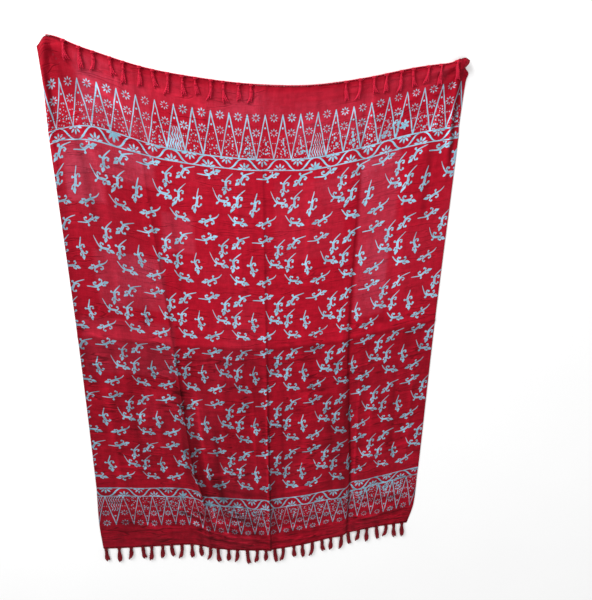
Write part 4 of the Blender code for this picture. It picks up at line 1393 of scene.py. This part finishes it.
# %% [markdown]
# ## The tassels
# At each end the warp threads are gathered, knotted close to the edge and twisted into a few locks,
# here three to a tassel. A lock is two plies wound round each other, loosening and fraying at its
# tip. Each ply is a thin tube along a winding path. The bottom row lies straight out on the floor.
# The upper row lies back over the cloth, and a few of its tassels are tucked under it.

# %% A tube along a path
TINY = 1e-12
YARN_ROUND = 0.01


class Tubes:
    """Collects tubes and makes them into one mesh."""

    def __init__(self):
        self.places, self.faces, self.metres = [], [], []
        self.count = 0

    def add(self, path, radii, sides=6, closed=False):
        path, radii = np.asarray(path, float), np.asarray(radii, float)
        ahead = np.roll(path, -1, 0) - np.roll(path, 1, 0) if closed else np.gradient(path, axis=0)
        ahead /= np.linalg.norm(ahead, axis=1, keepdims=True) + TINY
        side = np.cross(ahead, (0.0, 0.0, 1.0))
        side /= np.linalg.norm(side, axis=1, keepdims=True) + TINY
        above = np.cross(side, ahead)
        turn = 2 * np.pi * np.arange(sides) / sides
        cosine, sine = np.cos(turn)[None, :, None], np.sin(turn)[None, :, None]
        ring = cosine * side[:, None, :] + sine * above[:, None, :]
        self.places.append((path[:, None, :] + radii[:, None, None] * ring).reshape(-1, 3))
        number = self.count + np.arange(len(path) * sides).reshape(len(path), sides)
        following = np.roll(number, -1, 0) if closed else number[1:]
        here = number if closed else number[:-1]
        beside, beyond = np.roll(here, -1, 1), np.roll(following, -1, 1)
        quads = np.stack([here, beside, beyond, following], axis=-1)
        self.faces += quads.reshape(-1, 4).tolist()
        if not closed:
            self.faces += [number[0, ::-1].tolist(), number[-1].tolist()]
        run = np.concatenate([[0.0], np.cumsum(np.linalg.norm(np.diff(path, axis=0), axis=1))])
        around = np.repeat(np.arange(sides)[None, :] / sides, len(path), axis=0)
        metres = np.stack([np.repeat(run[:, None], sides, 1), YARN_ROUND * around], axis=-1)
        self.metres.append(metres.reshape(-1, 2))
        self.count += len(path) * sides

    def make(self, name, material):
        mesh = bpy.data.meshes.new(name)
        mesh.from_pydata(np.concatenate(self.places).tolist(), [], self.faces)
        write_uv(mesh, "yarn_metres", np.concatenate(self.metres))
        mesh.shade_smooth()
        mesh.materials.append(material)
        return show(name, mesh)


print("a tube has six sides unless told otherwise")

# %% The yarn's material: streaks along the yarn, and a darker and a lighter red
STREAKS, SHADE_STREAKS, SHADED_SHARE = (160.0, 900.0), (45.0, 500.0), (0.3, 0.7)
YARN_RELIEF = 0.0004
YARN_FINISH = {"Roughness": 0.75, "Specular IOR Level": 0.2}
fibres, given, leave = new_group("Yarn fibres", {"Place": None}, ["Height", "Shade"])
join(fibres, noise(fibres, given["Place"], 1.0, 2.0, STREAKS), leave.inputs["Height"])
shaded = noise(fibres, given["Place"], 1.0, 2.0, SHADE_STREAKS).between(*SHADED_SHARE)
join(fibres, shaded, leave.inputs["Shade"])


def tassel_yarn(name, dark, light):
    material, tree, shader, place = new_material(name, "yarn_metres")
    yarn = use_group(tree, fibres, {"Place": place})
    join(tree, mix_colour(tree, yarn["Shade"], dark, light), shader.inputs["Base Color"])
    emboss(tree, shader, yarn["Height"], YARN_RELIEF)
    finish(shader, YARN_FINISH)
    return material


# The two rows are one yarn: the lower row's darker red is painted shade, and the upper row's
# lighter red is painted light.
bottom_yarn_painted_dark = tassel_yarn("tassel yarn", linear(84, 3, 14), linear(130, 6, 22))
top_yarn_painted_light = tassel_yarn("upper tassel yarn", linear(184, 12, 44), linear(214, 34, 68))
print("two yarns, the upper one less shaded")

# %% Where the cloth's own rim and face are
flat_tree = kdtree.KDTree(len(upper_face))
for index, vertex in enumerate(upper_face):
    flat_tree.insert((vertex[0], vertex[1], 0.0), index)
flat_tree.balance()


FACE_SPREAD = 0.007


def face_height(x, y):
    """Highest point of the upper face within a few millimetres of a place on the floor."""
    found = [upper_face[index][2] for _, index, _ in flat_tree.find_range((x, y, 0.0), FACE_SPREAD)]
    return max(found) if found else 0.0


def edge_places(columns, along):
    """Places on the floor and heights of the cloth along one of its cut edges."""
    alongs = np.full_like(columns, along)
    height = relief(columns, alongs) + edge_detail(columns, alongs)
    return *plan(columns, alongs), np.maximum(0.0, height)


def rim(column, along):
    return np.array([values[0] for values in edge_places(np.array([column], float), along)])


def is_tucked(column, along):
    return along == 0.0 and float(tuck(np.array([column]))[0]) > 0.5


print("the face is", round(1000 * face_height(0.0, 0.0), 1), "mm high at the middle")

# %% Sizes of a lock in metres, some of them at shares of its length
LENGTH_SWING = 0.12
LENGTH_STEP = 1.9
SECOND_LOCK_SHORTER = 0.08
LOCK_HOOK = 0.008
HOOK_STEP = 2.3
HOOK_START = 0.7
FAN_SLOPE = 0.05
PLY_STEPS = 34
LOCK_SHARES = (0.0, 0.14, 0.45, 0.76, 1.0)
LOCK_OFFSETS = (0.0026, 0.0028, 0.0034, 0.0039, 0.0031)
PLY_RADII = (0.0013, 0.0015, 0.0018, 0.0020, 0.0010)
WIND_RADII = (0.0010, 0.0012, 0.0014, 0.0016, 0.0016)
TOP_OFFSETS = (0.0020, 0.0012, 0.0016, 0.0030, 0.0056)
MIDDLE_LOCK_SHARE, MIDDLE_LOCK_LIFT = 0.9, 0.0012
WIGGLE, WIGGLE_RATE, WIGGLE_STEP = 0.0009, 7.0, 1.7
TURNS, TURNS_SWING, TURNS_STEP = 4.5, 0.8, 3.1
NECK_GAP, NECK = 0.0003, 0.0036
FLOOR_GAP, FACE_GAP, SETTLE_REACH = 0.0006, 0.0003, 0.6
STIFFNESS, KNOT_LIFT, KNOT_REACH = 0.3, 0.0016, 0.2
ROUND, TUCKED_ROUND, TUCKED_HEIGHT, TUCKED_THINNER = 0.8, 0.45, 0.0036, 0.75
print("a lower lock is about", round(1000 * TASSELS["fringe_bottom"]["length"]), "mm long")

# %% One lock: two plies that wind round each other and fray at the tip


def lock(tubes, tassel, side, column, along, length, scale=1.0):
    shorter = SECOND_LOCK_SHORTER if side > 0 else 0.0
    reach = length * (1.0 + LENGTH_SWING * math.sin(LENGTH_STEP * tassel) - shorter)
    if side == 0.0:
        reach *= MIDDLE_LOCK_SHARE
    hook = LOCK_HOOK * math.sin(HOOK_STEP * tassel + HOOK_START)
    fan = FAN_SLOPE * column / RIGHT_COLUMN
    root = rim(column, along)
    share = np.linspace(0.0, 1.0, PLY_STEPS)
    offsets = LOCK_OFFSETS if along > 0.0 else TOP_OFFSETS
    across = side * read_curve(LOCK_SHARES, offsets, share) + hook * share**3
    across = across + WIGGLE * np.sin(WIGGLE_RATE * share + WIGGLE_STEP * tassel + side)
    ply = read_curve(LOCK_SHARES, PLY_RADII, share)
    wind = read_curve(LOCK_SHARES, WIND_RADII, share)
    tucked = is_tucked(column, along)
    turns = TURNS + TURNS_SWING * math.sin(TURNS_STEP * tassel + side)
    for number in (0, 1):
        angle = 2 * np.pi * (turns * share + number / 2) + tassel
        x = root[0] + across + scale * wind * np.cos(angle)
        if along > 0.0:
            far = NECK_GAP + NECK + share * reach
            x, y = x + fan * far, root[1] - far + NECK
            base = root[2] * (1.0 - smooth_step(0.0, SETTLE_REACH, share)) + FLOOR_GAP
        else:
            y = root[1] - share * reach
            base = np.full(PLY_STEPS, FLOOR_GAP)
            if not tucked:
                base = [face_height(px, py) for px, py in zip(root[0] + across, y)]
                base = np.array(base) + FACE_GAP
                bridged = np.maximum.accumulate(base[::-1])[::-1]
                base = bridged * STIFFNESS + base * (1.0 - STIFFNESS)
                base = base + KNOT_LIFT * (1.0 - smooth_step(0.0, KNOT_REACH, share))
        flatten = TUCKED_ROUND if tucked else ROUND
        z = base + ply + flatten * scale * wind * (1.0 + np.sin(angle))
        if tucked:
            z = np.minimum(z, base + TUCKED_HEIGHT - ply)
        elif side == 0.0:
            z = z + MIDDLE_LOCK_LIFT
        thin = TUCKED_THINNER if tucked else 1.0
        tubes.add(np.stack([x, y, z], axis=1), thin * scale * ply)


print("a lock winds round itself about", TURNS, "times")

# %% Knots and the rolled edge
KNOT_STEPS, KNOT_SLANT, KNOT_START, KNOT_PITCH = 14, 0.0006, 0.0004, 1.7
ROLL_STEPS, ROLL_RADIUS, ROLL_SWING, ROLL_RATE = 260, 0.0011, 0.00015, 40.0


def knot(tubes, centre, half_width, half_height, yarn):
    """Two turns of yarn round the neck of a tassel."""
    turn = 2 * np.pi * np.arange(KNOT_STEPS) / KNOT_STEPS
    for number in (0, 1):
        down = -KNOT_START - number * KNOT_PITCH * yarn
        path = np.stack([
            centre[0] + half_width * np.cos(turn),
            centre[1] + down + KNOT_SLANT * np.sin(turn + number),
            centre[2] + half_height * np.sin(turn),
        ], axis=1)
        tubes.add(path, np.full(KNOT_STEPS, yarn), sides=5, closed=True)


def rolled_edge(tubes, along, outward, rise, inset):
    stations = np.linspace(LEFT_COLUMN + inset, RIGHT_COLUMN - inset, ROLL_STEPS)
    x, y, z = edge_places(stations, along)
    radius = ROLL_RADIUS + ROLL_SWING * np.sin(ROLL_RATE * stations)
    tubes.add(np.stack([x, y + outward, z + rise + radius], axis=1), radius, sides=6)


print("a knot is two turns of", KNOT_STEPS, "steps")

# %% Make both rows: knots are move from the edge, half width, half height and yarn in metres
ROWS = {
    "tassels_bottom": {
        "node": "fringe_bottom", "yarn": bottom_yarn_painted_dark, "scale": 1.1, "edge": (-0.0012, 0.0, 0.03),
        "knots": [((0.0, -0.0012, 0.0030), 0.0050, 0.0024, 0.0014)],
    },
    "tassels_top": {
        "node": "fringe_top", "yarn": top_yarn_painted_light, "scale": 0.7, "edge": (0.0012, 0.0002, 0.6),
        "knots": [
            ((0.0, 0.0004, 0.0036), 0.0044, 0.0028, 0.0016),
            ((0.0, -0.0150, 0.0040), 0.0030, 0.0022, 0.0013),
        ],
    },
}
for name, row in ROWS.items():
    tubes, tassels = Tubes(), TASSELS[row["node"]]
    along = tassels["along"]
    for tassel, column in enumerate(tassel_columns(tassels)):
        for side in (-1.0, 0.0, 1.0):
            lock(tubes, tassel, side, column, along, tassels["length"], row["scale"])
        for move, *sizes in () if is_tucked(column, along) else row["knots"]:
            knot(tubes, rim(column, along) + move, *sizes)
    rolled_edge(tubes, along, *row["edge"])
    made = tubes.make(name, row["yarn"])
    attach(made, "root")
    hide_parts(row["node"])
    print(name, "has", sum(len(face) - 2 for face in tubes.faces), "triangles")

# %% Say what the cloth is
print("declared as a sheet of 1.10 m by", CLOTH_LENGTH, "m")

# %% [markdown]
# ## Floor, light and camera
# The cloth lies on a plain pale floor under one large soft light at its upper end, with a weak one
# across from it and a bright even surround. The light falls off down the cloth, and the lower part
# of the cloth is also painted darker in tone, as painted shade. The camera looks down from above
# the upper half, towards the hem.

# %% The floor
HALF_FLOOR = 6.0
FLOOR_LEVEL = -0.0003
PALE, PALER = (0.96, 0.96, 0.96, 1.0), (0.98, 0.98, 0.98, 1.0)
around = ((-1, -1), (1, -1), (1, 1), (-1, 1))
floor_mesh = bpy.data.meshes.new("floor")
floor_mesh.from_pydata(
    [(HALF_FLOOR * x, HALF_FLOOR * y, FLOOR_LEVEL) for x, y in around], [], [(0, 1, 2, 3)]
)
floor = show("floor", floor_mesh)
floor_paint = bpy.data.materials.new("pale floor")
floor_paint.use_nodes = True
tree = floor_paint.node_tree
shader = tree.nodes["Principled BSDF"]
coordinates = tree.nodes.new("ShaderNodeTexCoord")
mottle = noise(tree, Formula(tree, coordinates.outputs["Object"]), 3.0, 2.0)
join(tree, mix_colour(tree, mottle, PALE, PALER), shader.inputs["Base Color"])
finish(shader, {"Roughness": 0.9, "Specular IOR Level": 0.1})
floor_mesh.materials.append(floor_paint)
print("the floor is", 2 * HALF_FLOOR, "m wide")

# %% The light
LIGHTS = {
    "window": {"at": (-2.1, 2.6, 1.5), "towards": (0.1, 0.0, 0.0), "size": 1.2, "watts": 125.0},
    "fill": {"at": (1.8, -0.8, 2.6), "towards": (0.0, 0.0, 0.0), "size": 2.5, "watts": 14.0},
}
for name, values in LIGHTS.items():
    light = bpy.data.lights.new(name, "AREA")
    light.shape = "SQUARE"
    light.size = values["size"]
    light.energy = values["watts"]
    lamp = show(name, light)
    lamp.location = values["at"]
    beam = Vector(values["towards"]) - Vector(values["at"])
    lamp.rotation_euler = beam.to_track_quat("-Z", "Y").to_euler()
SURROUND = 0.68
world = bpy.data.worlds.new("bright surround")
world.use_nodes = True
background = world.node_tree.nodes["Background"]
background.inputs["Color"].default_value = (1.0, 1.0, 1.0, 1.0)
background.inputs["Strength"].default_value = SURROUND
bpy.context.scene.world = world
bpy.context.scene.view_settings.view_transform = "Standard"
print(len(LIGHTS), "lights and a white surround")

# %% The camera
CAMERA_PLACE = (-0.007383, 0.661745, 1.402952)
CAMERA_TURN = (
    (0.9969267791, 0.0110751851, -0.0775521586),
    (0.0154441037, 0.9427419653, 0.3331652240),
    (0.0768015410, -0.3333390573, 0.9396736647),
)
camera_data = bpy.data.cameras.new("camera")
camera_data.lens = 30.0
camera_data.sensor_width = 36.0
camera = show("camera", camera_data)
camera.matrix_world = Matrix.Translation(CAMERA_PLACE) @ Matrix(CAMERA_TURN).to_4x4()
bpy.context.scene.camera = camera
print("the camera stands", CAMERA_PLACE[2], "m over the floor")
